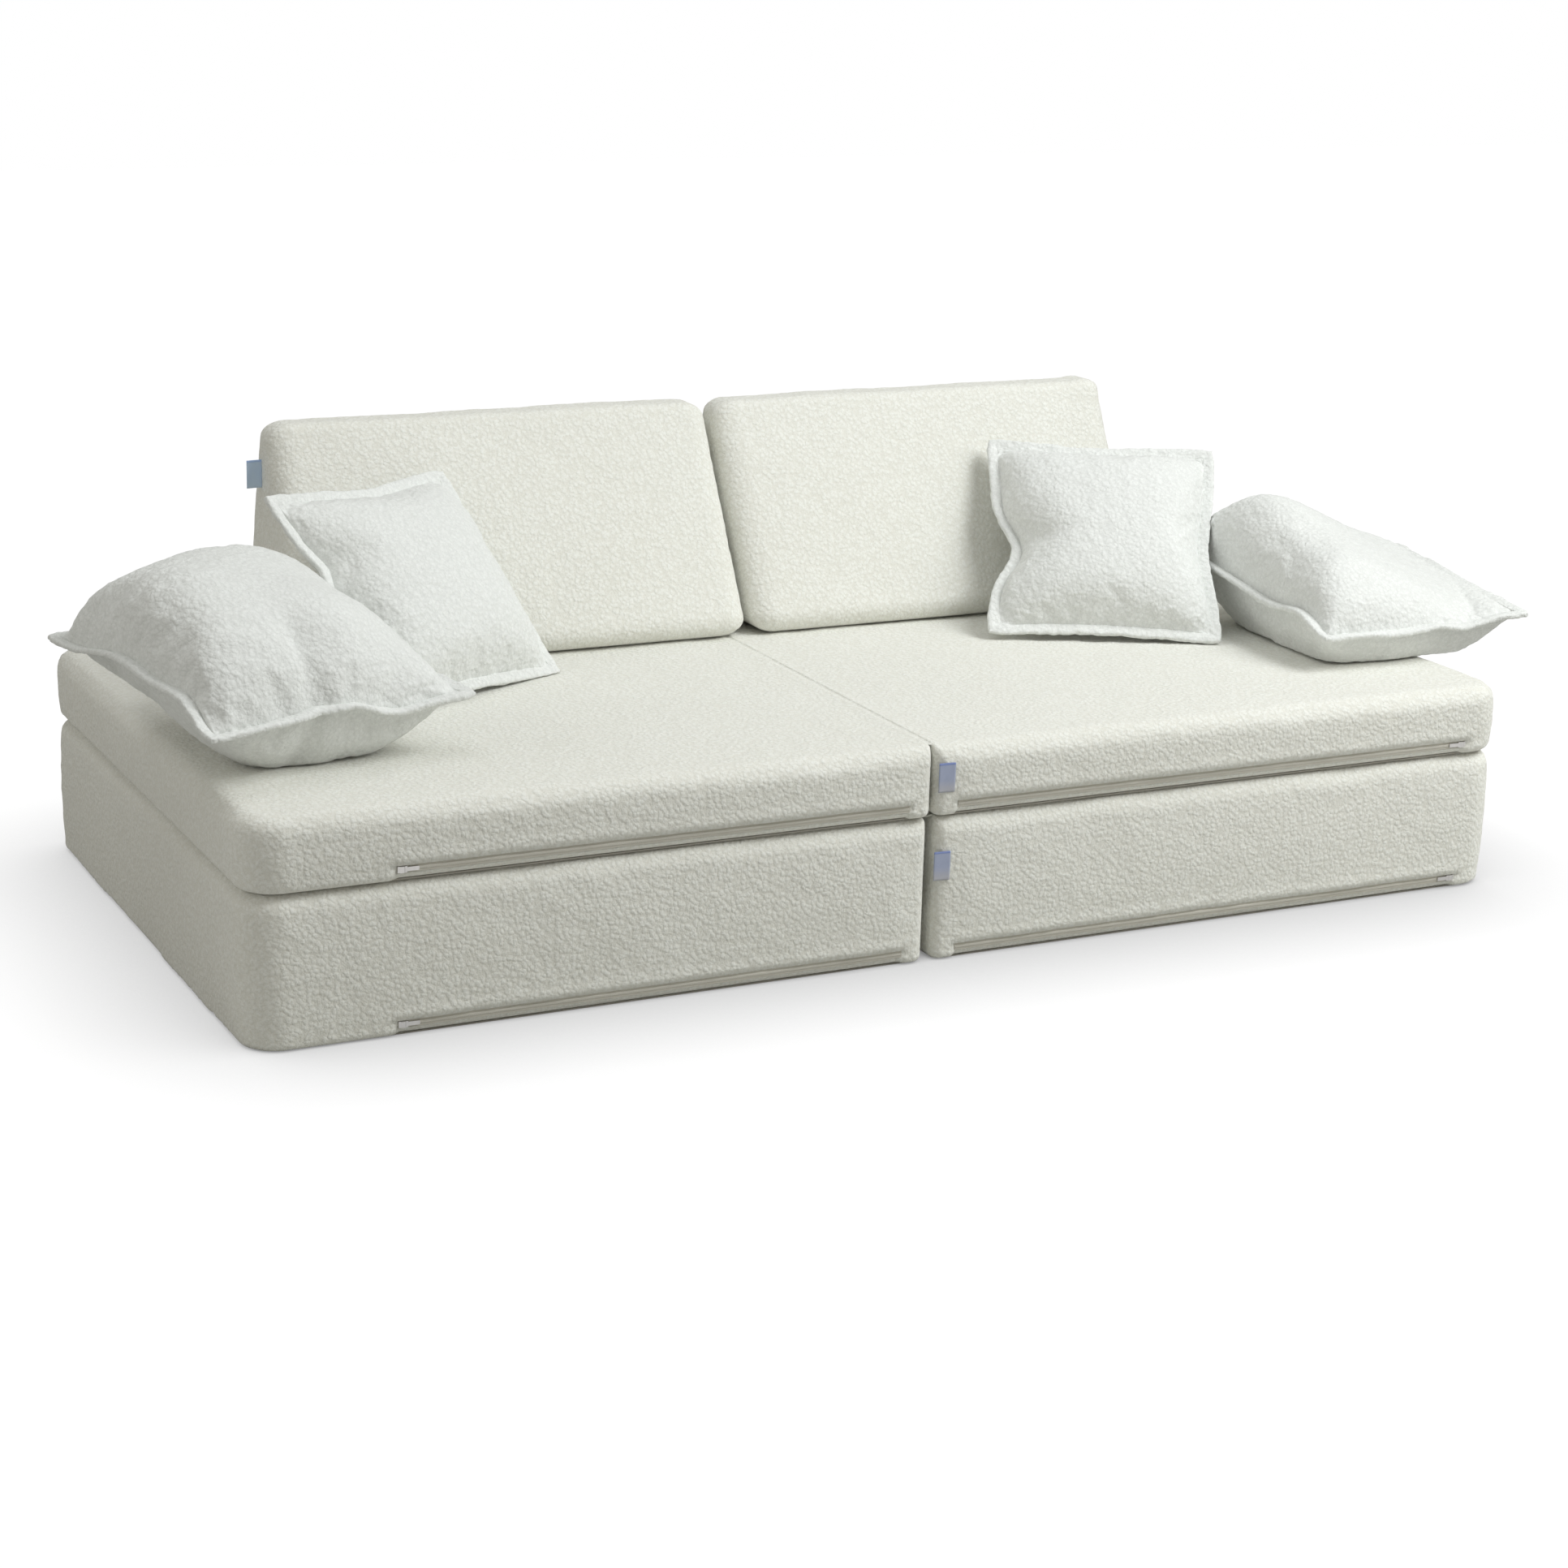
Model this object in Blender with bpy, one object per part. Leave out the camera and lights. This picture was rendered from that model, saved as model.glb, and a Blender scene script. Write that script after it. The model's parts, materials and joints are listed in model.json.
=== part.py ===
# Modular foam play sofa.
# A thick folding base and a thinner folding seat mattress lie on each other. Two foam wedges stand on
# the seat as the back, and four flanged pillows lie and lean on it. Every cushion is a foam core or a
# filling in a zipped cloth cover. +Z is up and the front faces -Y. The origin is on the floor, under
# the middle of the whole object with its pillows.

import bpy
import bmesh
import math
from mathutils import Matrix
from mathutils import Vector

# Whole sofa
LENGTH = 1.680
DEPTH = 0.840
BASE_HEIGHT = 0.180
SEAT_HEIGHT = 0.088

# Cloth and clearances
CLOTH = 0.003
TOUCH = 0.0003
CUT_OVERRUN = 0.002

# Mattress halves
BASE_FOLD_GAP = 0.012
SEAT_FOLD_GAP = 0.004
OUTER_CORNER_RADIUS = 0.045
FOLD_CORNER_RADIUS = 0.014
TOP_EDGE_RADIUS = 0.022
FOLD_EDGE_RADIUS = 0.005
BOTTOM_EDGE_RADIUS = 0.008
PANEL_DROP = 0.0005
WEB_THICKNESS = 0.002

# Zips on all covers
ZIP_BAND = 0.0094
ZIP_LOW = 0.0095
TAPE_THICKNESS = 0.0014
TAPE_RECESS = 0.0010
CHAIN_WIDTH = 0.0036
CHAIN_RISE = 0.0011
LEFT_ZIP_MARGIN = 0.170
RIGHT_ZIP_MARGIN = 0.060
FOLD_ZIP_MARGIN = 0.030
SLIDER_LENGTH = 0.0110
SLIDER_WIDTH = 0.0072
SLIDER_ROOF = 0.0012
SLIDER_BRIDGE = 0.0012
PULL_LENGTH = 0.014
PULL_WIDTH = 0.0048
PULL_THICKNESS = 0.0010

# Sewn-in tags
TAG_WIDTH = 0.021
TAG_HEIGHT = 0.036
TAG_THICKNESS = 0.001
TAG_INSET = 0.002
SEAT_TAG_DROP = 0.021
BASE_TAG_DROP = 0.042
WEDGE_TAG_DROP = 0.048

# Back wedges
WEDGE_LENGTH = 0.610
WEDGE_GAP = 0.012
WEDGE_SEAM_OFFSET = 0.030
WEDGE_HEIGHT = 0.291
WEDGE_FOOT = 0.290
WEDGE_SETBACK = 0.165
WEDGE_TOP = 0.050
WEDGE_TOE_RADIUS = 0.022
WEDGE_HEEL_RADIUS = 0.010
WEDGE_TOP_RADIUS = 0.018
WEDGE_END_RADIUS = 0.026
WEDGE_ZIP_RISE = 0.045
WEDGE_ZIP_MARGIN = 0.060

# Pillows
PILLOW_SIDE = 0.345
PILLOW_FLANGE = 0.014
PILLOW_ZIP = 0.160
PILLOW_SLOT_REACH = 0.0037
RIM_CLEARANCE = 0.0045
FILLING_RIM = 0.0008
drawn_in_share = 0.06
end_round_share = 0.55

# Mesh fineness
CORNER_STEPS = 4
EDGE_STEPS = 3
PILLOW_STEPS = 10

# The rear pillows lean on a wedge: their places are shares of half the length along X, and of a pillow's
# side in front of the wedge's foot and above the seat. The front pillows lie on the seat: their places
# are shares of a pillow's side from the rear pillow's middle, and of their own belly above the seat.
# Sides, and the rises of crown and belly from the seam, are shares of a pillow's side. The heap says by
# which share the crown grows towards the pillow's +X and +Y edges, where its filling has gathered. Turns
# are degrees of slope, roll and swing, and a rear pillow's slope counts from the wedge's front.
PILLOWS = (
    dict(name="pillow_left_rear", place_shares=(-0.550, -0.133, 0.343), side_share=0.913,
         crown_share=0.160, belly_share=0.160, heap_shares=(0.0, 0.0), turn=(-12.6, 2.0, 27.5)),
    dict(name="pillow_left_front", place_shares=(-0.779, -0.615, 1.030), side_share=1.020,
         crown_share=0.276, belly_share=0.258, heap_shares=(0.34, -0.45), turn=(-9.9, 0.2, 197.2)),
    dict(name="pillow_right_rear", place_shares=(0.614, -0.203, 0.336), side_share=0.928,
         crown_share=0.160, belly_share=0.160, heap_shares=(0.0, 0.0), turn=(-15.9, 1.3, -25.6)),
    dict(name="pillow_right_front", place_shares=(0.863, -0.520, 0.980), side_share=1.007,
         crown_share=0.203, belly_share=0.212, heap_shares=(0.75, -0.60), turn=(-8.2, 0.4, 181.1)),
)

# Levels that follow from the sizes above
FRONT = -DEPTH / 2
BACK = DEPTH / 2
SEAT_BOTTOM = BASE_HEIGHT + TOUCH
SEAT_TOP = SEAT_BOTTOM + SEAT_HEIGHT
WEDGE_BOTTOM = SEAT_TOP + TOUCH


def clear_scene():
    for item in list(bpy.data.objects):
        bpy.data.objects.remove(item, do_unlink=True)


def make_material(name, color, roughness, metallic=0.0):
    material = bpy.data.materials.new(name)
    material.use_nodes = True
    shader = material.node_tree.nodes["Principled BSDF"]
    shader.inputs["Base Color"].default_value = (*color, 1.0)
    shader.inputs["Roughness"].default_value = roughness
    shader.inputs["Metallic"].default_value = metallic
    return material


def make_empty(name, frame):
    """An empty that marks a joint's axis or a piece's own frame and carries what moves with it."""
    empty = bpy.data.objects.new(name, None)
    empty.matrix_world = frame
    bpy.context.scene.collection.objects.link(empty)
    return empty


def make_object(name, solid, look, parent):
    """A closed mesh object with its faces turned outwards, written in its parent's axes."""
    vertices, faces = solid
    mesh = bpy.data.meshes.new(name)
    mesh.from_pydata([tuple(point) for point in vertices], [], faces)
    work = bmesh.new()
    work.from_mesh(mesh)
    bmesh.ops.recalc_face_normals(work, faces=work.faces)
    work.to_mesh(mesh)
    work.free()
    mesh.shade_smooth()
    mesh.set_sharp_from_angle(angle=math.radians(40))
    mesh.materials.append(look)
    item = bpy.data.objects.new(name, mesh)
    bpy.context.scene.collection.objects.link(item)
    item.parent = parent
    return item


def cut_away(item, name, solid):
    """Takes a solid, written in the axes of item's parent, away from item."""
    cutter = make_object(name, solid, item.data.materials[0], item.parent)
    cutter.hide_render = True
    cutter.display_type = "WIRE"
    cut = item.modifiers.new(name, "BOOLEAN")
    cut.operation = "DIFFERENCE"
    cut.solver = "EXACT"
    cut.object = cutter


def strips(rings, start=0):
    """Quads between each ring and the next, for rings of equal count numbered from start."""
    count = len(rings[0])
    faces = []
    for level in range(len(rings) - 1):
        low = start + level * count
        for i in range(count):
            j = (i + 1) % count
            faces.append((low + i, low + j, low + count + j, low + count + i))
    return faces


def loft(rings):
    """A solid with flat ends that passes through the rings."""
    count = len(rings[0])
    vertices = [point for ring in rings for point in ring]
    last = len(vertices) - count
    faces = strips(rings)
    faces.append(tuple(range(count)))
    faces.append(tuple(range(last, last + count)))
    return vertices, faces


def shell(outer, inner):
    """A wall between two stacks of rings, joined at their first rings and closed at their last."""
    count = len(outer[0])
    vertices = [point for ring in outer + inner for point in ring]
    second = len(outer) * count
    faces = strips(outer) + strips(inner, second)
    faces.append(tuple(range(second - count, second)))
    faces.append(tuple(range(len(vertices) - count, len(vertices))))
    for i in range(count):
        j = (i + 1) % count
        faces.append((i, j, second + j, second + i))
    return vertices, faces


def box(low, high, frame=Matrix()):
    """A box between two opposite corners, in the axes of frame."""
    (x0, y0, z0), (x1, y1, z1) = low, high
    rings = [[frame @ Vector(corner) for corner in ((x0, y0, z), (x1, y0, z), (x1, y1, z), (x0, y1, z))]
             for z in (z0, z1)]
    return loft(rings)


def edge_inset(reach, radius):
    """How far a rounded edge of a radius has drawn in, reach above the start of its arc."""
    if reach <= 0 or radius <= 0:
        return 0.0
    return radius - math.sqrt(max(radius ** 2 - reach ** 2, 0.0))


def block_ring(low, high, z, insets, radii):
    """One level of a block: a rectangle with round corners, its left, right, front and rear drawn in."""
    x0, x1 = low[0] + insets[0], high[0] - insets[1]
    y0, y1 = low[1] + insets[2], high[1] - insets[3]
    corners = ((x0, y0, 1, 1, 180, 0, 2), (x1, y0, -1, 1, 270, 1, 2),
               (x1, y1, -1, -1, 0, 1, 3), (x0, y1, 1, -1, 90, 0, 3))
    ring = []
    for (x, y, right, up, first, side, end), full in zip(corners, radii):
        radius = max(full - max(insets[side], insets[end]), full / 3)
        for step in range(CORNER_STEPS + 1):
            angle = math.radians(first + 90 * step / CORNER_STEPS)
            ring.append((x + right * radius + radius * math.cos(angle),
                         y + up * radius + radius * math.sin(angle), z))
    return ring


def corner_radii(fold_side, offset=0.0):
    """The plan radii of a mattress half: small at the fold, large at the outer end."""
    fold_corners = (0, 3) if fold_side == 0 else (1, 2)
    return [(FOLD_CORNER_RADIUS if i in fold_corners else OUTER_CORNER_RADIUS) - offset for i in range(4)]


def block_rings(low, high, fold_side, offset=0.0):
    """Rings of a mattress half from its underside up to its top, offset inwards from the cover's face."""
    inner_low = [value + offset for value in low]
    inner_high = [value - offset for value in high]
    radii = corner_radii(fold_side, offset)
    foot = BOTTOM_EDGE_RADIUS - offset
    edge = TOP_EDGE_RADIUS - offset
    side_edges = [edge] * 4
    side_edges[fold_side] = FOLD_EDGE_RADIUS - offset
    rings = []
    for step in range(EDGE_STEPS + 1):
        angle = math.radians(90 * step / EDGE_STEPS)
        inset = foot * (1 - math.sin(angle))
        z = inner_low[2] + foot * (1 - math.cos(angle))
        rings.append(block_ring(inner_low, inner_high, z, [inset] * 4, radii))
    for step in range(EDGE_STEPS + 1):
        z = inner_high[2] - edge * (1 - math.sin(math.radians(90 * step / EDGE_STEPS)))
        insets = [edge_inset(z - inner_high[2] + radius, radius) for radius in side_edges]
        rings.append(block_ring(inner_low, inner_high, z, insets, radii))
    return rings


def zip_and_slider(name, frame, run, at_start, parent):
    """A closed zip and its slider, in a slot of length run.

    In the frame X runs along the zip, Y points out of the cloth from its outer face and Z is across.
    The slider waits at the start or the end of the zip, with its pull lying back over the chain.
    """
    half = ZIP_BAND / 2 - TOUCH
    ridge = CHAIN_WIDTH / 2
    floor = -TAPE_RECESS
    under = floor - TAPE_THICKNESS
    crest = floor + CHAIN_RISE
    section = ((under, -half), (floor, -half), (floor, -ridge), (crest, -ridge),
               (crest, ridge), (floor, ridge), (floor, half), (under, half))
    end = run / 2 - TOUCH
    tape = loft([[frame @ Vector((x, y, z)) for y, z in section] for x in (-end, end)])
    make_object(name + "_zip", tape, ZIP_CLOTH, parent)

    wide = SLIDER_WIDTH / 2
    slot = ridge + TOUCH
    foot = floor + TOUCH
    roof = crest + TOUCH
    pull = PULL_WIDTH / 2
    pull_slot = min(slot, pull * end_round_share)
    body_rises = ((0.0, SLIDER_ROOF / 2), (0.2, SLIDER_ROOF), (0.35, SLIDER_ROOF + SLIDER_BRIDGE),
                  (0.65, SLIDER_ROOF + SLIDER_BRIDGE), (0.8, SLIDER_ROOF), (1.0, PULL_THICKNESS))
    rings = []
    for share, rise in body_rises:
        rings.append((SLIDER_LENGTH * share, foot, roof + rise, wide, slot))
    for reach in (TOUCH, PULL_LENGTH):
        rings.append((SLIDER_LENGTH + reach, roof, roof + PULL_THICKNESS, pull, pull_slot))
    towards = 1 if at_start else -1
    begin = towards * (TOUCH - end)
    solid = loft([[frame @ Vector((begin + towards * x, y, z)) for y, z in
                   ((low, -out), (low, -gap), (roof, -gap), (roof, gap), (low, gap), (low, out),
                    (top, out), (top, -out))] for x, low, top, out, gap in rings])
    make_object(name + "_zip_slider", solid, ZIP_METAL, parent)


def front_frame(x, y, z):
    """The axes of a zip on a wall that faces the front."""
    return Matrix(((-1, 0, 0, x), (0, -1, 0, y), (0, 0, 1, z), (0, 0, 0, 1)))


def mattress_half(name, low, high, fold_side, margins, parent):
    """One half of a folding mattress: foam core, cover, bottom panel, zip and slider."""
    cover_low = (low[0], low[1], low[2] + PANEL_DROP)
    outer = block_rings(cover_low, high, fold_side)
    inner = block_rings(cover_low, high, fold_side, CLOTH)
    cover = make_object(name + "_cover", shell(outer, inner), BOUCLE, parent)
    core = block_rings(cover_low, high, fold_side, CLOTH + TOUCH)
    make_object(name + "_foam", loft(core), FOAM, parent)

    insets = [BOTTOM_EDGE_RADIUS + TOUCH] * 4
    panel = [block_ring(low, high, z, insets, corner_radii(fold_side))
             for z in (low[2], cover_low[2] + CLOTH)]
    make_object(name + "_bottom_panel", loft(panel), LINING, parent)

    zip_low, zip_high = low[0] + margins[0], high[0] - margins[1]
    zip_middle = cover_low[2] + ZIP_LOW + ZIP_BAND / 2
    slot = box((zip_low, low[1] - CUT_OVERRUN, zip_middle - ZIP_BAND / 2),
               (zip_high, low[1] + CLOTH + TOUCH / 2, zip_middle + ZIP_BAND / 2))
    cut_away(cover, name + "_zip_slot", slot)
    frame = front_frame((zip_low + zip_high) / 2, low[1], zip_middle)
    zip_and_slider(name, frame, zip_high - zip_low, fold_side == 0, parent)


def folding_mattress(name, bottom, height, gap, tag_drop):
    """Two halves joined by a cloth web under the fold's axis, which runs along their top faces."""
    top = bottom + height
    reach = LENGTH / 2
    axis = make_empty(name + "_fold_axis", Matrix.Translation((0, 0, top + TOUCH)))
    down = -TOUCH
    mattress_half(name + "_left", (-reach, FRONT, bottom), (-gap / 2, BACK, top), 1,
                  (LEFT_ZIP_MARGIN, FOLD_ZIP_MARGIN), None)
    mattress_half(name + "_right", (gap / 2, FRONT, down - height), (reach, BACK, down), 0,
                  (FOLD_ZIP_MARGIN, RIGHT_ZIP_MARGIN), axis)

    web_end = BACK - FOLD_CORNER_RADIUS
    web_top = top - FOLD_EDGE_RADIUS
    web = box((TOUCH - gap / 2, -web_end, web_top - WEB_THICKNESS),
              (gap / 2 - TOUCH, web_end, web_top))
    make_object(name + "_fold_web", web, BOUCLE, None)

    tag_low = gap / 2 + TAG_INSET
    tag_top = down - tag_drop
    tag = box((tag_low, FRONT - TOUCH - TAG_THICKNESS, tag_top - TAG_HEIGHT),
              (tag_low + TAG_WIDTH, FRONT - TOUCH, tag_top))
    make_object(name + "_tag", tag, TAG_RIBBON, axis)


def wedge_corners():
    """The wedge's outline in Y and Z: toe, heel, rear top and front top, each with its radius."""
    toe = BACK - WEDGE_FOOT
    top_front = toe + WEDGE_SETBACK
    low, high = WEDGE_BOTTOM, WEDGE_BOTTOM + WEDGE_HEIGHT
    return ((Vector((toe, low)), WEDGE_TOE_RADIUS), (Vector((BACK, low)), WEDGE_HEEL_RADIUS),
            (Vector((top_front + WEDGE_TOP, high)), WEDGE_TOP_RADIUS),
            (Vector((top_front, high)), WEDGE_TOP_RADIUS))


def wedge_outline(inset):
    """The outline moved inwards by inset all along, with its corners still round.

    A corner's arc of radius r has its centre (inset + r) / sin(half the corner's angle) from the corner,
    along the line that halves it.
    """
    corners = wedge_corners()
    points = []
    for i, (here, full) in enumerate(corners):
        back = (corners[i - 1][0] - here).normalized()
        ahead = (corners[(i + 1) % len(corners)][0] - here).normalized()
        half = back.angle(ahead) / 2
        radius = max(full - inset, WEDGE_HEEL_RADIUS / 4)
        centre = here + (back + ahead).normalized() * ((inset + radius) / math.sin(half))
        first = math.atan2(-back.x, back.y) + math.pi
        sweep = math.pi - 2 * half
        for step in range(CORNER_STEPS + 1):
            angle = first + sweep * step / CORNER_STEPS
            points.append(centre + Vector((math.cos(angle), math.sin(angle))) * radius)
    return points


def wedge_rings(low, high, offset=0.0):
    """Sections of a wedge from its left end to its right end, with rounded ends, offset inwards."""
    radius = min(WEDGE_END_RADIUS, WEDGE_TOP * end_round_share) - offset
    rings = []
    for end, inwards in ((low, 1), (high, -1)):
        stack = []
        for step in range(EDGE_STEPS + 1):
            angle = math.radians(90 * step / EDGE_STEPS)
            x = end + inwards * (offset + radius * (1 - math.cos(angle)))
            outline = wedge_outline(offset + radius * (1 - math.sin(angle)))
            stack.append([(x, point.x, point.y) for point in outline])
        rings += stack[::inwards]
    return rings


def back_wedge(name, low, high):
    """A wedge of the back: foam core, closed cover with a zip low on its rear face, and slider."""
    cover = make_object(name + "_cover", loft(wedge_rings(low, high)), BOUCLE, None)
    cut_away(cover, name + "_hollow", loft(wedge_rings(low, high, CLOTH)))
    make_object(name + "_foam", loft(wedge_rings(low, high, CLOTH + TOUCH)), FOAM, None)

    toe, heel, rear_top, front_top = [corner for corner, radius in wedge_corners()]
    up = (rear_top - heel).normalized()
    place = heel + up * WEDGE_ZIP_RISE
    frame = Matrix(((1, 0, 0, (low + high) / 2), (0, up.y, up.x, place.x),
                    (0, -up.x, up.y, place.y), (0, 0, 0, 1)))
    half_run = (high - low) / 2 - WEDGE_ZIP_MARGIN
    slot = box((-half_run, -CLOTH - TOUCH / 2, -ZIP_BAND / 2), (half_run, CUT_OVERRUN, ZIP_BAND / 2), frame)
    cut_away(cover, name + "_zip_slot", slot)
    zip_and_slider(name, frame, 2 * half_run, True, None)


def wedge_slope():
    """The front of the wedges: a point at its foot, its outward normal and its slope from level."""
    toe, heel, rear_top, front_top = [corner for corner, radius in wedge_corners()]
    along = (front_top - toe).normalized()
    return Vector((0, toe.x, toe.y)), Vector((0, -along.y, along.x)), math.atan2(along.y, along.x)


def pillow_bulge(u, w):
    """How far a stuffed pillow bulges, as a share of its rise, at u and w from -1 to 1 between its seams."""
    return max((1 - u ** 4) * (1 - w ** 4), 0.0) ** 0.5 * max((1 - u ** 2) * (1 - w ** 2), 0.0) ** 0.25


def pillow_surface(stuffing, frame, floors, steps, inset, rim, plan_inset=0.0, flange=False):
    """A pillow's closed surface in its own axes, as a grid of points above and one below.

    It lies inset inside the cover's outer face, and plan_inset further in at its seams. rim is its least
    half thickness, and flange adds the flat border outside the seams. The sides draw in at their
    middles. Each floor is a point and a normal in world axes, on which the pillow is pressed flat.
    """
    side, rises, heap = stuffing
    half_side = side / 2
    seam = (half_side - PILLOW_FLANGE - inset - plan_inset) / half_side
    stations = [seam * math.sin(math.pi / 2 * (2 * i / steps - 1)) for i in range(steps + 1)]
    if flange:
        stations = [-1.0] + stations + [1.0]
    inverse = frame.inverted()
    layers = []
    for face, rise in zip((-1, 1), rises):
        layer = []
        for w in stations:
            for u in stations:
                x = half_side * u * (1 - drawn_in_share * (1 - w ** 2) * u ** 2)
                y = half_side * w * (1 - drawn_in_share * (1 - u ** 2) * w ** 2)
                grown = rise * (1 + heap[0] * u + heap[1] * w) if face > 0 else rise
                bulge = pillow_bulge(min(abs(u) / seam, 1), min(abs(w) / seam, 1))
                place = frame @ Vector((x, y, face * (rim + max(grown - inset, 0.0) * bulge)))
                for point, normal in floors:
                    least = TOUCH + inset + (2 * rim if face > 0 else 0.0)
                    depth = (place - point).dot(normal) - least
                    if depth < 0:
                        place = place - normal * depth
                layer.append(inverse @ place)
        layers.append(layer)
    return join_layers(layers, len(stations))


def join_layers(layers, count):
    """A closed solid from two square grids of points with count points a side.

    Each cell is split along the diagonal that runs towards the grid's middle.
    """
    vertices = layers[0] + layers[1]
    second = count * count
    faces = []
    for row in range(count - 1):
        for column in range(count - 1):
            a = row * count + column
            b, c, d = a + 1, a + count + 1, a + count
            rising = (2 * row < count - 1) == (2 * column < count - 1)
            pair = ((a, b, c), (a, c, d)) if rising else ((a, b, d), (b, c, d))
            for triangle in pair:
                faces.append(triangle)
                faces.append(tuple(index + second for index in triangle))
    edge = list(range(count))
    edge += [row * count + count - 1 for row in range(1, count)]
    edge += [(count - 1) * count + i for i in range(count - 2, -1, -1)]
    edge += [row * count for row in range(count - 2, 0, -1)]
    for i, a in enumerate(edge):
        b = edge[(i + 1) % len(edge)]
        faces.append((a, b, b + second, a + second))
    return vertices, faces


def pillow(name, frame, stuffing):
    """A pillow: filling, cover with a flange, and a zip set under one side's flange."""
    foot, normal, slope = wedge_slope()
    floors = ((Vector((0, 0, SEAT_TOP)), Vector((0, 0, 1))), (foot, normal))
    carrier = make_empty(name + "_middle", frame)
    outside = pillow_surface(stuffing, frame, floors, PILLOW_STEPS, 0.0, CLOTH, flange=True)
    cover = make_object(name + "_cover", outside, PILLOW_BOUCLE, carrier)
    hollow = pillow_surface(stuffing, frame, floors, PILLOW_STEPS, CLOTH, CLOTH / 2)
    cut_away(cover, name + "_hollow", hollow)
    filling = pillow_surface(stuffing, frame, floors, PILLOW_STEPS, CLOTH + TOUCH, FILLING_RIM,
                             RIM_CLEARANCE)
    make_object(name + "_filling", filling, FIBRE, carrier)

    side, (belly, crown), heap = stuffing
    seam = (side / 2 - PILLOW_FLANGE) / (side / 2)
    zip_y = PILLOW_SLOT_REACH - ZIP_BAND / 2 - side / 2 * seam * (1 - drawn_in_share * seam ** 2)
    zip_z = -(TAPE_RECESS + TAPE_THICKNESS + TOUCH)
    frame = Matrix(((1, 0, 0, 0), (0, 0, 1, zip_y), (0, -1, 0, zip_z), (0, 0, 0, 1)))
    slot = box((-PILLOW_ZIP / 2, zip_z, -ZIP_BAND / 2), (PILLOW_ZIP / 2, belly, ZIP_BAND / 2), frame)
    cut_away(cover, name + "_zip_slot", slot)
    zip_and_slider(name, frame, PILLOW_ZIP, True, carrier)


def pillow_frame(place, turn):
    """A pillow's axes: level, then sloped about X, rolled about Y and swung about Z."""
    slope, roll, swing = turn
    return (Matrix.Translation(place) @ Matrix.Rotation(swing, 4, "Z") @ Matrix.Rotation(roll, 4, "Y")
            @ Matrix.Rotation(slope, 4, "X"))


def build_pillows():
    foot, normal, slope = wedge_slope()
    rear = None
    for entry in PILLOWS:
        belly = PILLOW_SIDE * entry["belly_share"]
        stuffing = (PILLOW_SIDE * entry["side_share"], (belly, PILLOW_SIDE * entry["crown_share"]),
                    entry["heap_shares"])
        along, ahead, above = entry["place_shares"]
        turn = [math.radians(angle) for angle in entry["turn"]]
        if entry["name"].endswith("rear"):
            turn[0] += slope
            rear = Vector((LENGTH / 2 * along, foot.y + PILLOW_SIDE * ahead, SEAT_TOP + PILLOW_SIDE * above))
            place = rear
        else:
            place = Vector((rear.x + PILLOW_SIDE * along, rear.y + PILLOW_SIDE * ahead,
                            SEAT_TOP + belly * above))
        pillow(entry["name"], pillow_frame(place, turn), stuffing)


def build_wedges():
    seam = WEDGE_SEAM_OFFSET
    back_wedge("back_left", seam - WEDGE_GAP / 2 - WEDGE_LENGTH, seam - WEDGE_GAP / 2)
    back_wedge("back_right", seam + WEDGE_GAP / 2, seam + WEDGE_GAP / 2 + WEDGE_LENGTH)
    end = seam - WEDGE_GAP / 2 - WEDGE_LENGTH
    toe, heel, rear_top, front_top = [corner for corner, radius in wedge_corners()]
    middle = (rear_top.x + front_top.x) / 2
    tag_top = rear_top.y - WEDGE_TAG_DROP
    tag = box((end - TOUCH - TAG_WIDTH, middle - TAG_THICKNESS / 2, tag_top - TAG_HEIGHT),
              (end - TOUCH, middle + TAG_THICKNESS / 2, tag_top))
    make_object("back_left_tag", tag, TAG_RIBBON, None)


def put_origin_under_the_middle():
    """Moves everything so that the origin is on the floor under the middle of all the pieces."""
    bpy.context.view_layer.update()
    corners = [item.matrix_world @ Vector(corner) for item in bpy.data.objects
               if item.type == "MESH" and not item.hide_render for corner in item.bound_box]
    middle = [(min(p[i] for p in corners) + max(p[i] for p in corners)) / 2 for i in (0, 1)]
    shift = Matrix.Translation((-middle[0], -middle[1], 0))
    for item in bpy.data.objects:
        if item.parent is None:
            item.matrix_world = shift @ item.matrix_world


clear_scene()
BOUCLE = make_material("boucle", (0.80, 0.78, 0.70), 0.95)
PILLOW_BOUCLE = make_material("pillow_boucle", (0.78, 0.77, 0.72), 0.95)
FOAM = make_material("foam", (0.88, 0.86, 0.78), 0.90)
FIBRE = make_material("fibre", (0.92, 0.92, 0.90), 0.95)
LINING = make_material("lining", (0.60, 0.58, 0.53), 0.90)
ZIP_CLOTH = make_material("zip_cloth", (0.52, 0.49, 0.44), 0.70)
ZIP_METAL = make_material("zip_metal", (0.45, 0.44, 0.42), 0.40, 1.0)
TAG_RIBBON = make_material("tag_ribbon", (0.37, 0.45, 0.63), 0.60)
folding_mattress("base", 0.0, BASE_HEIGHT, BASE_FOLD_GAP, BASE_TAG_DROP)
folding_mattress("seat", SEAT_BOTTOM, SEAT_HEIGHT, SEAT_FOLD_GAP, SEAT_TAG_DROP)
build_wedges()
build_pillows()
put_origin_under_the_middle()
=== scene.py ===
# %% [markdown]
# # A modular play sofa in looped cloth
# The real sofa is a set of loose foam blocks in zipped covers: a thick base that folds in two, a thinner
# seat mattress that folds in two on top of it, two wedges for the back and four flanged pillows.
# The packed model gives the place of every piece. Here each cushion gets its soft surface and its cloth.

# %% Load the packed model
import json
import math

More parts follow.
